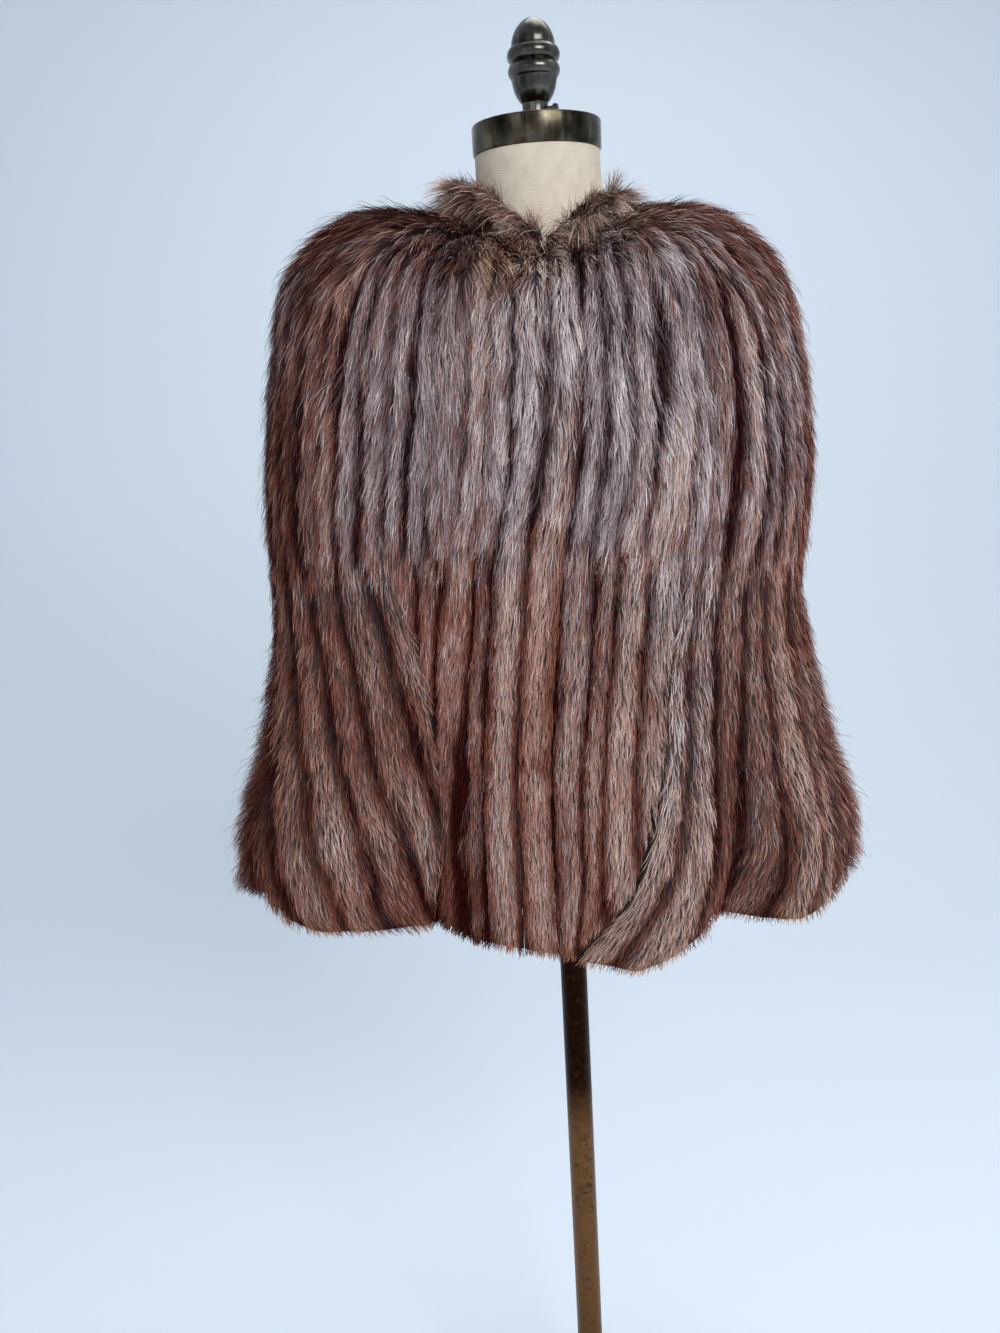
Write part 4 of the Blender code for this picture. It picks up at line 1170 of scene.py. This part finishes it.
def panels():
    """The cape's panels, cut as the solids are, with the lifted slit edges drawn over the fronts."""
    start = OPENING_GAP / 2 + FRONT_EDGE_WIDTH + SEAM_GAP
    near = OPENING_SHOWS / 2
    far = OPENING_GAP / 2 + FRONT_EDGE_WIDTH
    left_start = beside(opening, start)
    right_start = beside(opening, -start)
    seams = {side: fixed(side * FRONT_SEAM) for side in (-1, 1)}
    backs = {side: fixed(side * BACK_SEAM) for side in (-1, 1)}
    round_back = fixed(2.0 - BACK_SEAM)
    upper = (0.0, WAIST_ROW)
    lower = (WAIST_ROW, HEM_ROW)
    whole = (0.0, HEM_ROW)
    return (
        Panel("front_upper_left", *upper, left_start, seams[1], 9, 20000, lines="plumb from left"),
        Panel("front_upper_right", *upper, seams[-1], right_start, 9, 20000, lines="plumb from right"),
        Panel("side_upper_left", *upper, seams[1], backs[1], 9, 14500),
        Panel("side_upper_right", *upper, backs[-1], seams[-1], 9, 15000),
        Panel("back_upper", *upper, backs[1], round_back, 20, 15000),
        Panel("front_lower_left", *lower, left_start, along_slit(left_slit, -1, LEFT_FRONT_EDGE), 4, 8000,
              right_lift=-FRONT_SINK, slit="right", lines="plumb from left"),
        Panel("front_lower_right", *lower, along_slit(right_slit, 1, RIGHT_FRONT_EDGE), right_start, 4, 8000,
              left_lift=-FRONT_SINK, slit="left", lines="plumb from right"),
        Panel("side_lower_left", *lower, along_slit(left_slit, 1, LEFT_SIDE_EDGE), backs[1], 13, 19000,
              left_lift=LEFT_SLIT_LIFT, slit="left", lines="swept"),
        Panel("side_lower_right", *lower, backs[-1], along_slit(right_slit, -1, RIGHT_SIDE_EDGE), 9, 20000,
              right_lift=RIGHT_SLIT_LIFT, slit="right", lines="bent"),
        Panel("back_lower", *lower, backs[1], round_back, 22, 14500),
        Panel("front_edge_left", *whole, beside(opening, near), beside(opening, far), 1, 5000),
        Panel("front_edge_right", *whole, beside(opening, -far), beside(opening, -near), 1, 5000),
    )


def declare_fur(skin, fur, node):
    for piece in (skin, fur):
        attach(piece, "form")
    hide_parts(node)


def build_panel(panel, number, looks):
    """One panel: the skin with its lining, and the hair on it."""
    rng = np.random.default_rng(PANEL_SEED + number)
    grid = lay_grid(panel, rng)
    outer = grid.inner + grid.outward * grid.skin[:, :, None]
    kept_rows = slice(None, None, SKIN_ROW_STEP)
    skin = shell_object(panel.name + "_skin", grid.inner[kept_rows], outer[kept_rows],
                        looks["underwool"], looks["lining"])
    mark_pelts(skin, grid.crest[kept_rows])
    fur = grow_panel(panel, grid, looks["hair"], rng)
    declare_fur(skin, fur, panel.name)


def add(tree, kind, sockets=None, stops=(), **properties):
    """Adds a shader node: properties, sockets given a value or another node's output, ramp stops."""
    node = tree.nodes.new("ShaderNode" + kind)
    for name, value in properties.items():
        setattr(node, name, value)
    for name, value in (sockets or {}).items():
        if isinstance(value, bpy.types.NodeSocket):
            tree.links.new(value, node.inputs[name])
        else:
            node.inputs[name].default_value = value
    for index, (place, colour) in enumerate(stops):
        ramp = node.color_ramp.elements
        stop = ramp[index] if index < len(ramp) else ramp.new(place)
        stop.position = place
        stop.color = (*linear(colour), 1.0)
    return node


def new_material(name, **values):
    """A Principled material with constant values on its sockets, and its tree."""
    material = bpy.data.materials.new(name)
    material.use_nodes = True
    shader = material.node_tree.nodes["Principled BSDF"]
    for socket, value in values.items():
        shader.inputs[socket.replace("_", " ")].default_value = value
    return material, material.node_tree


def joined(material, **outputs):
    """The material with nodes' outputs joined to its shader's sockets."""
    tree = material.node_tree
    shader = tree.nodes["Principled BSDF"]
    for socket, output in outputs.items():
        tree.links.new(output, shader.inputs[socket.replace("_", " ")])
    return material


def on_object(tree):
    """A point's place on its object, in metres."""
    return add(tree, "TexCoord").outputs["Object"]


def speckle(tree, place, size, **sockets):
    """Noise from 0 to 1 whose specks have a real size."""
    return add(tree, "TexNoise", {"Vector": place, "Scale": 1.0 / size, **sockets}).outputs["Fac"]


def stripes(tree, place, width, direction, **sockets):
    """Soft stripes from 0 to 1 that lie a real width apart."""
    sockets = {name.replace("_", " "): value for name, value in sockets.items()}
    wave = {"Vector": place, "Scale": pi / 10.0 / width, **sockets}
    return add(tree, "TexWave", wave, bands_direction=direction).outputs["Fac"]


def calculate(tree, operation, *values):
    """Arithmetic on numbers and outputs."""
    return add(tree, "Math", dict(enumerate(values)), operation=operation).outputs[0]


def ramp(tree, value, *stops):
    """Colours along a value, as (place, colour)."""
    return add(tree, "ValToRGB", {"Fac": value}, stops=stops).outputs["Color"]


def ranged(tree, value, to_low, to_high, low=0.0, high=1.0, **properties):
    """A value moved from one range to another."""
    sockets = {"Value": value, "From Min": low, "From Max": high, "To Min": to_low, "To Max": to_high}
    return add(tree, "MapRange", sockets, **properties).outputs["Result"]


def relief(tree, height, strength, depth):
    """Normals of a raised pattern."""
    return add(tree, "Bump", {"Height": height, "Strength": strength, "Distance": depth}).outputs["Normal"]


def hair_material():
    """Guard hair of a soft brown fur: fine hair with little gloss of its own, dark at the root, partly
    painted shade.
    """
    material, tree = new_material("guard hair", Roughness=0.60, Specular_IOR_Level=0.05)
    return joined(material, Base_Color=add(tree, "VertexColor", layer_name="hair").outputs["Color"])


def underwool_material():
    """Dense short wool over tanned skin: matt brown between the locks, with painted shade near black in the
    grooves.
    """
    material, tree = new_material("underwool", Roughness=0.95)
    tuft_size = 0.004
    tufts = speckle(tree, on_object(tree), tuft_size, Detail=4.0)
    pelt = add(tree, "Attribute", attribute_name="pelt").outputs["Fac"]
    colour = ramp(tree, calculate(tree, "MULTIPLY", tufts, pelt),
                  (0.05, "#140B0A"), (0.35, "#3E2E2A"), (0.65, "#614C45"))
    return joined(material, Base_Color=colour, Normal=relief(tree, tufts, 0.8, 0.001))


def satin_material(name, dark, light, thread):
    """Woven satin: long floats over one thread direction give a soft gloss in faint ribs."""
    material, tree = new_material(name, Roughness=0.55)
    ribs = stripes(tree, on_object(tree), thread, "DIAGONAL", Distortion=2.0, Detail=2.0)
    colour = ramp(tree, ribs, (0.2, dark), (0.8, light))
    return joined(material, Base_Color=colour, Normal=relief(tree, ribs, 0.25, 0.0004))


def linen_material():
    """Linen canvas, plain weave: matt cream threads with small gaps and thicker slubs."""
    material, tree = new_material("linen canvas", Roughness=0.9)
    thread = 0.0016  # real threads are about 0.7 mm apart and would not show, so they are drawn coarser
    slub_size = 0.012
    place = add(tree, "UVMap", uv_map="weave").outputs["UV"]
    warp, weft = (stripes(tree, place, thread, direction, Distortion=0.6, Detail=1.0, Detail_Scale=0.4)
                  for direction in ("X", "Y"))
    cross = calculate(tree, "MULTIPLY", warp, weft)
    slubs = speckle(tree, place, slub_size, Detail=3.0)
    colour = ramp(tree, calculate(tree, "MULTIPLY_ADD", cross, 0.55, slubs),
                  (0.30, "#C0B4A0"), (0.55, "#CDC1AD"), (0.95, "#D9CFBF"))
    return joined(material, Base_Color=colour, Normal=relief(tree, cross, 0.35, 0.0005))


def gunmetal_material(name, dark, middle, light):
    """Cast and brushed gunmetal: dark metal with fine streaks and soft bright edges."""
    material, tree = new_material(name, Metallic=1.0)
    place = on_object(tree)
    streaks_per_metre = (260.0, 260.0, 14.0)  # about 4 mm wide and 70 mm long
    stain_size = 0.020
    streak = add(tree, "Mapping", {"Vector": place, "Scale": streaks_per_metre}).outputs["Vector"]
    brushing = speckle(tree, streak, 1.0, Detail=3.0)
    stain = speckle(tree, place, stain_size, Detail=2.0)
    colour = ramp(tree, calculate(tree, "MULTIPLY_ADD", brushing, 0.4, stain),
                  (0.45, dark), (0.70, middle), (0.95, light))
    return joined(material, Base_Color=colour, Roughness=ranged(tree, brushing, 0.14, 0.32),
                  Normal=relief(tree, brushing, 0.08, 0.0003))


def bronze_material():
    """Antique-bronze lacquer on steel tube: near-black gloss with coppery chips, lighter bronze below a set
    height.
    """
    material, tree = new_material("antique bronze lacquer", Metallic=1.0)
    place = on_object(tree)
    chip_size = 0.006
    wear_size = 0.06
    chips = speckle(tree, place, chip_size, Detail=5.0, Roughness=0.7)
    wear = speckle(tree, place, wear_size, Detail=2.0)
    worn = calculate(tree, "MULTIPLY_ADD", wear, 0.5, chips)
    lacquer = ramp(tree, worn, (0.50, "#150804"), (0.78, "#221008"), (0.90, "#3C2011"))
    lower_colour = ramp(tree, worn, (0.50, "#2A1A10"), (0.66, "#6A482E"), (0.90, "#7C5836"))
    height = add(tree, "SeparateXYZ", {"Vector": place}).outputs["Z"]
    lower = ranged(tree, height, 1.0, 0.0, BRONZE_BELOW - BRONZE_EASE, BRONZE_BELOW + BRONZE_EASE)
    colour = add(tree, "MixRGB", {"Fac": lower, "Color1": lacquer, "Color2": lower_colour}).outputs["Color"]
    return joined(material, Base_Color=colour, Roughness=ranged(tree, worn, 0.22, 0.55, low=0.5))


def wire_material():
    """Black enamelled steel wire: smooth dark gloss with a little dust."""
    material, tree = new_material("black enamelled wire", Roughness=0.35)
    dust_size = 0.003
    dust = speckle(tree, on_object(tree), dust_size)
    return joined(material, Base_Color=ramp(tree, dust, (0.4, "#0E0D0D"), (0.8, "#242122")))


def floor_material():
    """Pale painted floor: matt, with a hardly visible mottle."""
    material, tree = new_material("pale floor paint", Roughness=0.8)
    grit_size = 0.002
    mottle = speckle(tree, on_object(tree), grit_size)
    return joined(material, Base_Color=ramp(tree, mottle, (0.3, "#E8F1FB"), (0.7, "#EDF5FE")))


def collar_grid(columns, rows):
    """Inside and outside points of the stand collar, top to seam, as the solid has them."""
    neck = section_at(CAPE_SECTIONS, 0.0)
    girth = np.linspace(beside(opening, OPENING_GAP / 2)(0.0),
                        2.0 + beside(opening, -OPENING_GAP / 2)(0.0), columns)
    ring = ring_points(neck, girth)
    along = ring_points(neck, girth + GIRTH_STEP) - ring_points(neck, girth - GIRTH_STEP)
    down = unit(cape_points(girth, ROW_STEP) - cape_points(girth, 0.0))
    outward = unit(np.cross(down, along))
    inner_seam = ring - down * COLLAR_GAP
    outer_seam = inner_seam + outward * (PILE_NECK + PELT_RELIEF / 2 + SEAM_GAP)
    girths, heights = zip(*COLLAR_LINE)
    height = np.interp(wrapped(girth), girths, heights)[:, None]
    radial = unit(inner_seam * [1.0, 1.0, 0.0])
    inner_top = inner_seam + UP * height + radial * COLLAR_LEAN
    outer_top = inner_top + radial * COLLAR_TOP_THICKNESS - UP * COLLAR_TOP_SLOPE * height
    share = np.linspace(1.0, 0.0, rows)[:, None, None]
    inner = inner_seam + (inner_top - inner_seam) * share
    outer = outer_seam + (outer_top - outer_seam) * share + radial * COLLAR_BULGE * np.sin(pi * share)
    return inner, outer


def collar_skin():
    """Inside and outside points of the collar's skin, lower and thinner than the solid."""
    inner, outer = collar_grid(COLLAR_GRID_COLUMNS, COLLAR_GRID_ROWS)
    girth = np.linspace(0.0, 2.0, COLLAR_GRID_COLUMNS)
    places, shares = zip(*COLLAR_SHOWS)
    height = (COLLAR_SKIN_HEIGHT * np.interp(wrapped(girth), places, shares))[:, None]
    inner = inner[-1] + (inner - inner[-1]) * height
    outer = outer[-1] + (outer - outer[-1]) * height
    return inner, inner + (outer - inner) * COLLAR_SKIN_SHARE


def collar_roots(inner, outer, area, rng):
    """Places of the collar's locks on its grid, some over the top edge, and their roots."""
    cells = rng.choice(len(area), COLLAR_LOCKS, p=area / area.sum())
    over_top = rng.random(COLLAR_LOCKS) < COLLAR_TOP_LOCKS
    row = np.where(over_top, 0.0, cells // (COLLAR_GRID_COLUMNS - 1) + rng.random(COLLAR_LOCKS))
    column = cells % (COLLAR_GRID_COLUMNS - 1) + rng.random(COLLAR_LOCKS)
    depth = np.where(over_top, rng.random(COLLAR_LOCKS), 1.0)[:, None]
    return row, column, sample(inner, row, column) * (1 - depth) + sample(outer, row, column) * depth


def collar_columns(stand, tuft, rng):
    """Palette column of each collar lock: lighter to the top edge, uneven by tuft, painted shade at the seam.
    """
    shade = 0.22 + 0.20 * stand + 1.20 * (tuft[:, 4] - 0.42) + rng.normal(0.0, 0.12, COLLAR_LOCKS)
    light = rng.random(COLLAR_LOCKS) < COLLAR_LIGHT_LOCKS
    # painted shade in the crease at the collar's seam
    shade += 0.54 * light - 0.28 * (1.0 - smooth(0.0, 0.35, stand))
    mix = rng.random(COLLAR_LOCKS)
    other = np.where(mix < COLLAR_BROWN_COAT, COAT_NAMES.index("brown"), COAT_NAMES.index("russet"))
    coat = np.where(mix < COLLAR_OWN_COAT, COAT_NAMES.index("collar"), other)
    return coat * SHADES + shade_level(shade)


def grow_collar(inner, outer, material, rng):
    """The collar's soft hair: tufts that stand out all round, up at the top edge and down at the seam."""
    spread = np.gradient(outer, axis=1)
    normal = grid_normals(outer)
    area = np.linalg.norm(normal, axis=2)[:-1, :-1].ravel()
    row, column, root = collar_roots(inner, outer, area, rng)
    stand = 1.0 - row / (COLLAR_GRID_ROWS - 1)
    tuft = tuft_table(column, row, rng)
    lean = 1.3 * (tuft[:, :3] - 0.5)
    flow = unit(sample(normal, row, column)) * 0.9 + UP * (1.5 * stand - 0.75)[:, None] + lean
    flow = unit(flow + rng.normal(0.0, 0.22, (COLLAR_LOCKS, 3)))
    length = COLLAR_HAIR_LENGTH * rng.uniform(0.5, 1.1, COLLAR_LOCKS) * (0.7 + 0.6 * tuft[:, 3])
    length = length[:, None]
    curl = unit(np.cross(flow, lean + 0.01)) * 0.35
    points = np.stack([root + flow * length * share + (curl - UP * 0.35) * length * share ** 2
                       for share in HAIR_STEPS], axis=1)
    palette_column = collar_columns(stand, tuft, rng)
    side = unit(unit(sample(spread, row, column)) + rng.normal(0.0, 0.6, (COLLAR_LOCKS, 3)))
    width = LOCK_WIDTH * rng.uniform(0.6, 1.1, COLLAR_LOCKS)
    return hair_object("collar_fur", points, side, width, palette_column, material)


def tuft_table(column, row, rng):
    """Random numbers shared by the locks of each small patch of the collar."""
    lane = (column / COLLAR_TUFT_COLUMNS).astype(int)
    shift = rng.random(lane.max() + 1)
    step = (row / COLLAR_TUFT_ROWS + shift[lane]).astype(int)
    return rng.random((lane.max() + 1, step.max() + 1, 5))[lane, step]


def build_collar(looks):
    """The stand collar: skin with lining, and its soft hair."""
    rng = np.random.default_rng(COLLAR_SEED)
    inner, outer = collar_skin()
    skin = shell_object("collar_skin", inner, outer, looks["underwool"], looks["lining"])
    mark_pelts(skin, np.full(inner.shape[:2], COLLAR_CREST))
    fur = grow_collar(inner, outer, looks["hair"], rng)
    declare_fur(skin, fur, "collar")


def facing_points(rows, slit, side, lift, places):
    """Inside of the facing along a slit, which dips from the side panel's lifted edge to under the front."""
    share = np.linspace(0.0, 1.0, FACING_COLUMNS)
    dip = smooth(0.0, 0.7, share)
    near = along_slit(slit, side, [place + BINDING_GAP for place in places])
    far = along_slit(slit, side, [place - FACING_WIDTH for place in places])
    inner = np.empty((GRID_ROWS, FACING_COLUMNS, 3))
    for index, row in enumerate(rows):
        girth = near(row) + (far(row) - near(row)) * share
        along = cape_points(girth + GIRTH_STEP, row) - cape_points(girth - GIRTH_STEP, row)
        fall = cape_points(girth, min(row + ROW_STEP, HEM_ROW)) - cape_points(girth, row - ROW_STEP)
        height = lift_growth(row) * lift * (1.0 - dip) - (FRONT_SINK + 2.0 * FACING_THICKNESS) * dip
        inner[index] = cape_points(girth, row) + unit(np.cross(fall, along)) * height[:, None]
    return inner[:, ::-1] if side > 0 else inner


def build_bindings(looks):
    """The black satin edge in each arm slit: a facing on the side panel's edge that runs under the front."""
    tier_height = CAPE_SECTIONS[WAIST_ROW].z_side - CAPE_SECTIONS[WAIST_ROW + 1].z_side
    rows = np.linspace(WAIST_ROW + TIER_GAP / tier_height, HEM_ROW, GRID_ROWS)
    for name, *slit in (("slit_binding_left", left_slit, 1, LEFT_SLIT_LIFT, LEFT_SIDE_EDGE),
                        ("slit_binding_right", right_slit, -1, RIGHT_SLIT_LIFT, RIGHT_SIDE_EDGE)):
        inner = facing_points(rows, *slit)
        outer = inner + unit(grid_normals(inner)) * FACING_THICKNESS
        piece = shell_object(name + "_satin", inner, outer, looks["satin"], looks["satin"])
        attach(piece, "form")
        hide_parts(name)


def fastener_plans():
    """The hook and the eye that it faces, as bent wires: distances to the wearer's left and up."""
    half = HOOK_WIDTH / 2
    bend = [radians(angle) for angle in range(90, 271, 15)]
    hook_reach = -HOOK_RIGHT_SHARE * HOOK_LENGTH
    hook_end = HOOK_LEFT_SHARE * HOOK_LENGTH
    eye_reach = hook_reach - HOOK_WIDTH - 2 * HOOK_WIRE_RADIUS - SEAM_GAP
    eye_end = eye_reach - HOOK_WIDTH
    hook = [(hook_reach + half * cos(angle), half * sin(angle)) for angle in bend]
    eye = [(eye_reach - half * cos(angle), half * sin(angle)) for angle in bend]
    return {
        "neck_hook": [(hook_end, half), *hook, (hook_end, -half)],
        "neck_eye": [(eye_end, half), *eye, (eye_end, -half)],
    }


def build_neck_fastener(looks):
    """The black wire hook and eye at the neck, in the fur's face."""
    row = HOOK_ROW
    place = opening(row)
    along = cape_points([place + GIRTH_STEP], row) - cape_points([place - GIRTH_STEP], row)
    down = unit(cape_points([place], row + ROW_STEP) - cape_points([place], row - ROW_STEP))[0]
    outward = unit(np.cross(down, along[0]))
    left = np.cross(outward, down)
    left *= np.sign(left[0])
    centre = cape_points([place], row)[0] + outward * HOOK_SITS * pile_depth(row)
    for name, plan in fastener_plans().items():
        curve = bpy.data.curves.new(name + "_wire", "CURVE")
        curve.dimensions = "3D"
        curve.bevel_depth = HOOK_WIRE_RADIUS
        curve.bevel_resolution = 4
        curve.use_fill_caps = True
        spline = curve.splines.new("POLY")
        spline.points.add(len(plan) - 1)
        for point, (across, up) in zip(spline.points, plan):
            point.co = (*(centre + left * across - down * up), 1.0)
        curve.materials.append(looks["wire"])
        piece = new_object(name + "_wire", curve)
        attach(piece, "form")
        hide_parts(name)


def form_layers(girth):
    """Rings of the form from its top, down and up its bore, and the weave's length at each."""
    count = len(girth)
    last = len(FORM_SECTIONS) - 1
    places = np.linspace(0.0, last, FORM_GRID_STEPS * last + 1)
    rings = np.array([ring_points(section_at(FORM_SECTIONS, place), girth) for place in places])
    rings[:, -1] = rings[:, 0]
    rings[0, :, 2] = NECK_TOP + rings[0, :, 1] * tan(NECK_TILT)
    steps = np.linalg.norm(np.diff(rings, axis=0), axis=2).mean(axis=1)
    travelled = np.concatenate([[0.0], np.cumsum(steps)])
    bore = POLE_RADIUS + BORE_CLEARANCE
    direction = unit(rings[-1] * [1.0, 1.0, 0.0])
    floor = FORM_SECTIONS[-1].z_side
    mouth = direction * bore + [0.0, 0.0, floor]
    roof = direction * bore + [0.0, 0.0, POLE_TOP + SEAM_GAP]
    middle = np.tile([0.0, 0.0, POLE_TOP + SEAM_GAP], (count, 1))
    top = np.tile(rings[0, :-1].mean(axis=0), (count, 1))
    layers = np.concatenate([top[None], rings, mouth[None], roof[None], middle[None]])
    return layers, np.concatenate([[-WEAVE_OVER_TOP], travelled, travelled[-1] + WEAVE_INTO_BORE])


def build_form(looks):
    """The linen-covered torso and neck, smooth and whole, with a bore for the pole."""
    girth = np.linspace(-1.0, 1.0, FORM_GRID_COLUMNS + 1)
    layers, heights = form_layers(girth)
    faces = []
    maps = []
    across = girth * NECK_GIRTH / 2
    count = len(girth)
    for layer in range(len(layers) - 1):
        for column in range(FORM_GRID_COLUMNS):
            corners = ((layer, column), (layer + 1, column), (layer + 1, column + 1), (layer, column + 1))
            faces.append([row * count + place for row, place in corners])
            maps.extend((across[place], heights[row]) for row, place in corners)
    mesh = bpy.data.meshes.new("form_body_linen")
    mesh.from_pydata(layers.reshape(-1, 3).tolist(), [], faces)
    layer = mesh.uv_layers.new(name="weave")
    layer.data.foreach_set("uv", np.array(maps, np.float32).ravel())
    piece = new_object("form_body_linen", mesh)
    weld(mesh)
    mesh.materials.append(looks["linen"])
    mesh.shade_smooth()
    mesh.set_sharp_from_angle(angle=radians(40.0))
    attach(piece, "form")
    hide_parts("form_body")


def weld(mesh):
    """Joins points that fall together and drops the faces that then have no area."""
    work = bmesh.new()
    work.from_mesh(mesh)
    bmesh.ops.remove_doubles(work, verts=work.verts, dist=1e-6)
    bmesh.ops.dissolve_degenerate(work, edges=work.edges, dist=1e-7)
    bmesh.ops.recalc_face_normals(work, faces=work.faces)
    work.to_mesh(mesh)
    work.free()


def turned(name, outline, sides, material, place=Matrix.Identity(4)):
    """A solid turned about Z from an outline of radius and height, listed from the top down."""
    angle = np.linspace(0.0, 2.0 * pi, sides, endpoint=False)
    rings = np.array([[(radius * cos(turn), radius * sin(turn), height) for turn in angle]
                      for radius, height in outline])
    faces = []
    for ring in range(len(outline) - 1):
        for side in range(sides):
            after = (side + 1) % sides
            above = ring * sides
            below = above + sides
            faces.append((above + side, below + side, below + after, above + after))
    mesh = bpy.data.meshes.new(name)
    mesh.from_pydata(rings.reshape(-1, 3).tolist(), [], faces)
    weld(mesh)
    mesh.transform(place)
    mesh.materials.append(material)
    mesh.shade_smooth()
    mesh.set_sharp_from_angle(angle=radians(35.0))
    return new_object(name, mesh)


def tilted_seat(height):
    """Place on the neck's leaning axis, at a height above the neck's top."""
    tilt = Matrix.Rotation(NECK_TILT, 4, "X")
    return Matrix.Translation((0.0, 0.0, NECK_TOP)) @ tilt @ Matrix.Translation((0.0, 0.0, height))


def softened(outline, per_step=4):
    """A turned outline with smooth curves between its points."""
    radii, heights = zip(*outline)
    rows = np.linspace(0.0, len(outline) - 1.0, per_step * (len(outline) - 1) + 1)
    return list(zip(np.maximum(0.0, through(radii, rows)), through(heights, rows)))


def build_metalwork(looks):
    """Neck cap, finial, set screw, pole and base."""
    cap = [(0.0, CAP_HEIGHT), *((CAP_RADIUS - inward, CAP_HEIGHT - down) for inward, down in CAP_RIM),
           *((CAP_RADIUS - inward, up) for inward, up in CAP_FOOT), (0.0, 0.0)]
    seat = tilted_seat(2 * SEAM_GAP + CAP_HEIGHT)
    aim = seat @ Matrix.Translation((0.0, 0.0, SCREW_HEIGHT))
    aim = aim @ Matrix.Rotation(SCREW_TURN, 4, "Z") @ Matrix.Rotation(radians(90.0), 4, "Y")
    head = STEM_RADIUS + SCREW_REACH
    shank_end = STEM_RADIUS - SCREW_SOCKET + SEAM_GAP
    screw = ((0.0, head - 0.0008), (0.0012, head - 0.0008), (0.0014, head),
             (SCREW_HEAD_RADIUS - 0.0006, head), (SCREW_HEAD_RADIUS, head - 0.0006),
             (SCREW_HEAD_RADIUS, head - SCREW_HEAD_THICKNESS),
             (SCREW_RADIUS, head - SCREW_HEAD_THICKNESS), (SCREW_RADIUS, shank_end), (0.0, shank_end))
    pole = ((0.0, POLE_TOP), (POLE_RADIUS - 0.0008, POLE_TOP), (POLE_RADIUS, POLE_TOP - 0.0008),
            (POLE_RADIUS, SOCKET_FLOOR + SEAM_GAP), (0.0, SOCKET_FLOOR + SEAM_GAP))
    finial_body = softened(FINIAL_OUTLINE[:-1]) + [(0.0, 0.0)]
    for node, outline, sides, look, place, body, slot in (
            ("neck_cap", cap, 96, "browned gunmetal", tilted_seat(SEAM_GAP), "form", "gunmetal"),
            ("finial", finial_body, 72, "gunmetal", seat, "form", "gunmetal"),
            ("set_screw", screw, 32, "gunmetal", aim, "form", "gunmetal"),
            ("pole", pole, 64, "bronze", Matrix.Identity(4), "stand", "antique_bronze"),
            ("base", BASE_OUTLINE, 128, "bronze", Matrix.Identity(4), "stand", "antique_bronze")):
        piece = turned(node + "_metal", outline, sides, looks[look], place)
        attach(piece, body)
        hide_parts(node)


def set_camera():
    """The photograph's view, with its slight roll."""
    data = bpy.data.cameras.new("camera")
    data.sensor_width = SENSOR
    data.lens = FOCAL_PIXELS / FRAME_HEIGHT_PIXELS * SENSOR
    ahead = Vector((0.0, cos(CAMERA_PITCH), -sin(CAMERA_PITCH)))
    level_up = Vector((0.0, sin(CAMERA_PITCH), cos(CAMERA_PITCH)))
    right = Vector((1.0, 0.0, 0.0)) * cos(CAMERA_ROLL) - level_up * sin(CAMERA_ROLL)
    up = right.cross(ahead)
    turn = Matrix((right, up, -ahead)).transposed()
    camera = bpy.data.objects.new("camera", data)
    camera.matrix_world = Matrix.Translation(CAMERA_PLACE) @ turn.to_4x4()
    bpy.context.collection.objects.link(camera)
    bpy.context.scene.camera = camera


def build_cove(looks):
    """A pale floor that rises to a backdrop."""
    bend = [radians(angle) for angle in range(0, 91, 10)]
    line = [(-COVE_HALF, 0.0)]
    line += [(COVE_BACK - COVE_BEND + COVE_BEND * sin(angle), COVE_BEND - COVE_BEND * cos(angle))
             for angle in bend]
    line += [(COVE_BACK, COVE_TOP)]
    points = [(side * COVE_HALF, back, height) for side in (-1, 1) for back, height in line]
    count = len(line)
    faces = [(index, index + count, index + count + 1, index + 1) for index in range(count - 1)]
    mesh = bpy.data.meshes.new("floor")
    mesh.from_pydata(points, [], faces)
    mesh.shade_smooth()
    mesh.materials.append(looks["floor"])
    new_object("floor", mesh)


def set_light():
    """A pale surround, brighter behind the form, and soft light from the front left, the right and above."""
    world = bpy.data.worlds.new("studio")
    world.use_nodes = True
    tree = world.node_tree
    surround = tree.nodes["Background"]
    surround.inputs["Color"].default_value = (*linear("#E8F1FA"), 1.0)
    facing = add(tree, "TexCoord").outputs["Generated"]
    depth = add(tree, "SeparateXYZ", {"Vector": facing}).outputs["Y"]
    strength = ranged(tree, depth, 0.38, 0.82, -0.5, 0.6, interpolation_type="SMOOTHSTEP")
    tree.links.new(strength, surround.inputs["Strength"])
    bpy.context.scene.world = world
    for name, place, size, power in LIGHTS:
        data = bpy.data.lights.new(name, "AREA")
        data.size = size
        data.energy = power
        light = bpy.data.objects.new(name, data)
        light.location = place
        aim = Vector(LIGHT_AIM) - Vector(place)
        light.rotation_euler = aim.to_track_quat("-Z", "Y").to_euler()
        bpy.context.collection.objects.link(light)
    bpy.context.scene.view_settings.view_transform = "Standard"


def main():
    """Builds the whole scene."""
    for old in list(bpy.data.objects):
        bpy.data.objects.remove(old)
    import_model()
    set_camera()
    looks = {
        "hair": hair_material(),
        "underwool": underwool_material(),
        "lining": satin_material("acetate lining", "#1A1314", "#2B2021", 0.0012),
        "satin": satin_material("black satin", "#070607", "#171518", 0.0010),
        "wire": wire_material(),
        "linen": linen_material(),
        "gunmetal": gunmetal_material("cast gunmetal", "#34322F", "#5C5A55", "#807D76"),
        "browned gunmetal": gunmetal_material("browned gunmetal", "#1C1812", "#443E32", "#726A5B"),
        "bronze": bronze_material(),
        "floor": floor_material(),
    }
    build_cove(looks)
    set_light()
    for number, panel in enumerate(panels()):
        build_panel(panel, number, looks)
    build_collar(looks)
    build_bindings(looks)
    build_neck_fastener(looks)
    build_form(looks)
    build_metalwork(looks)


main()
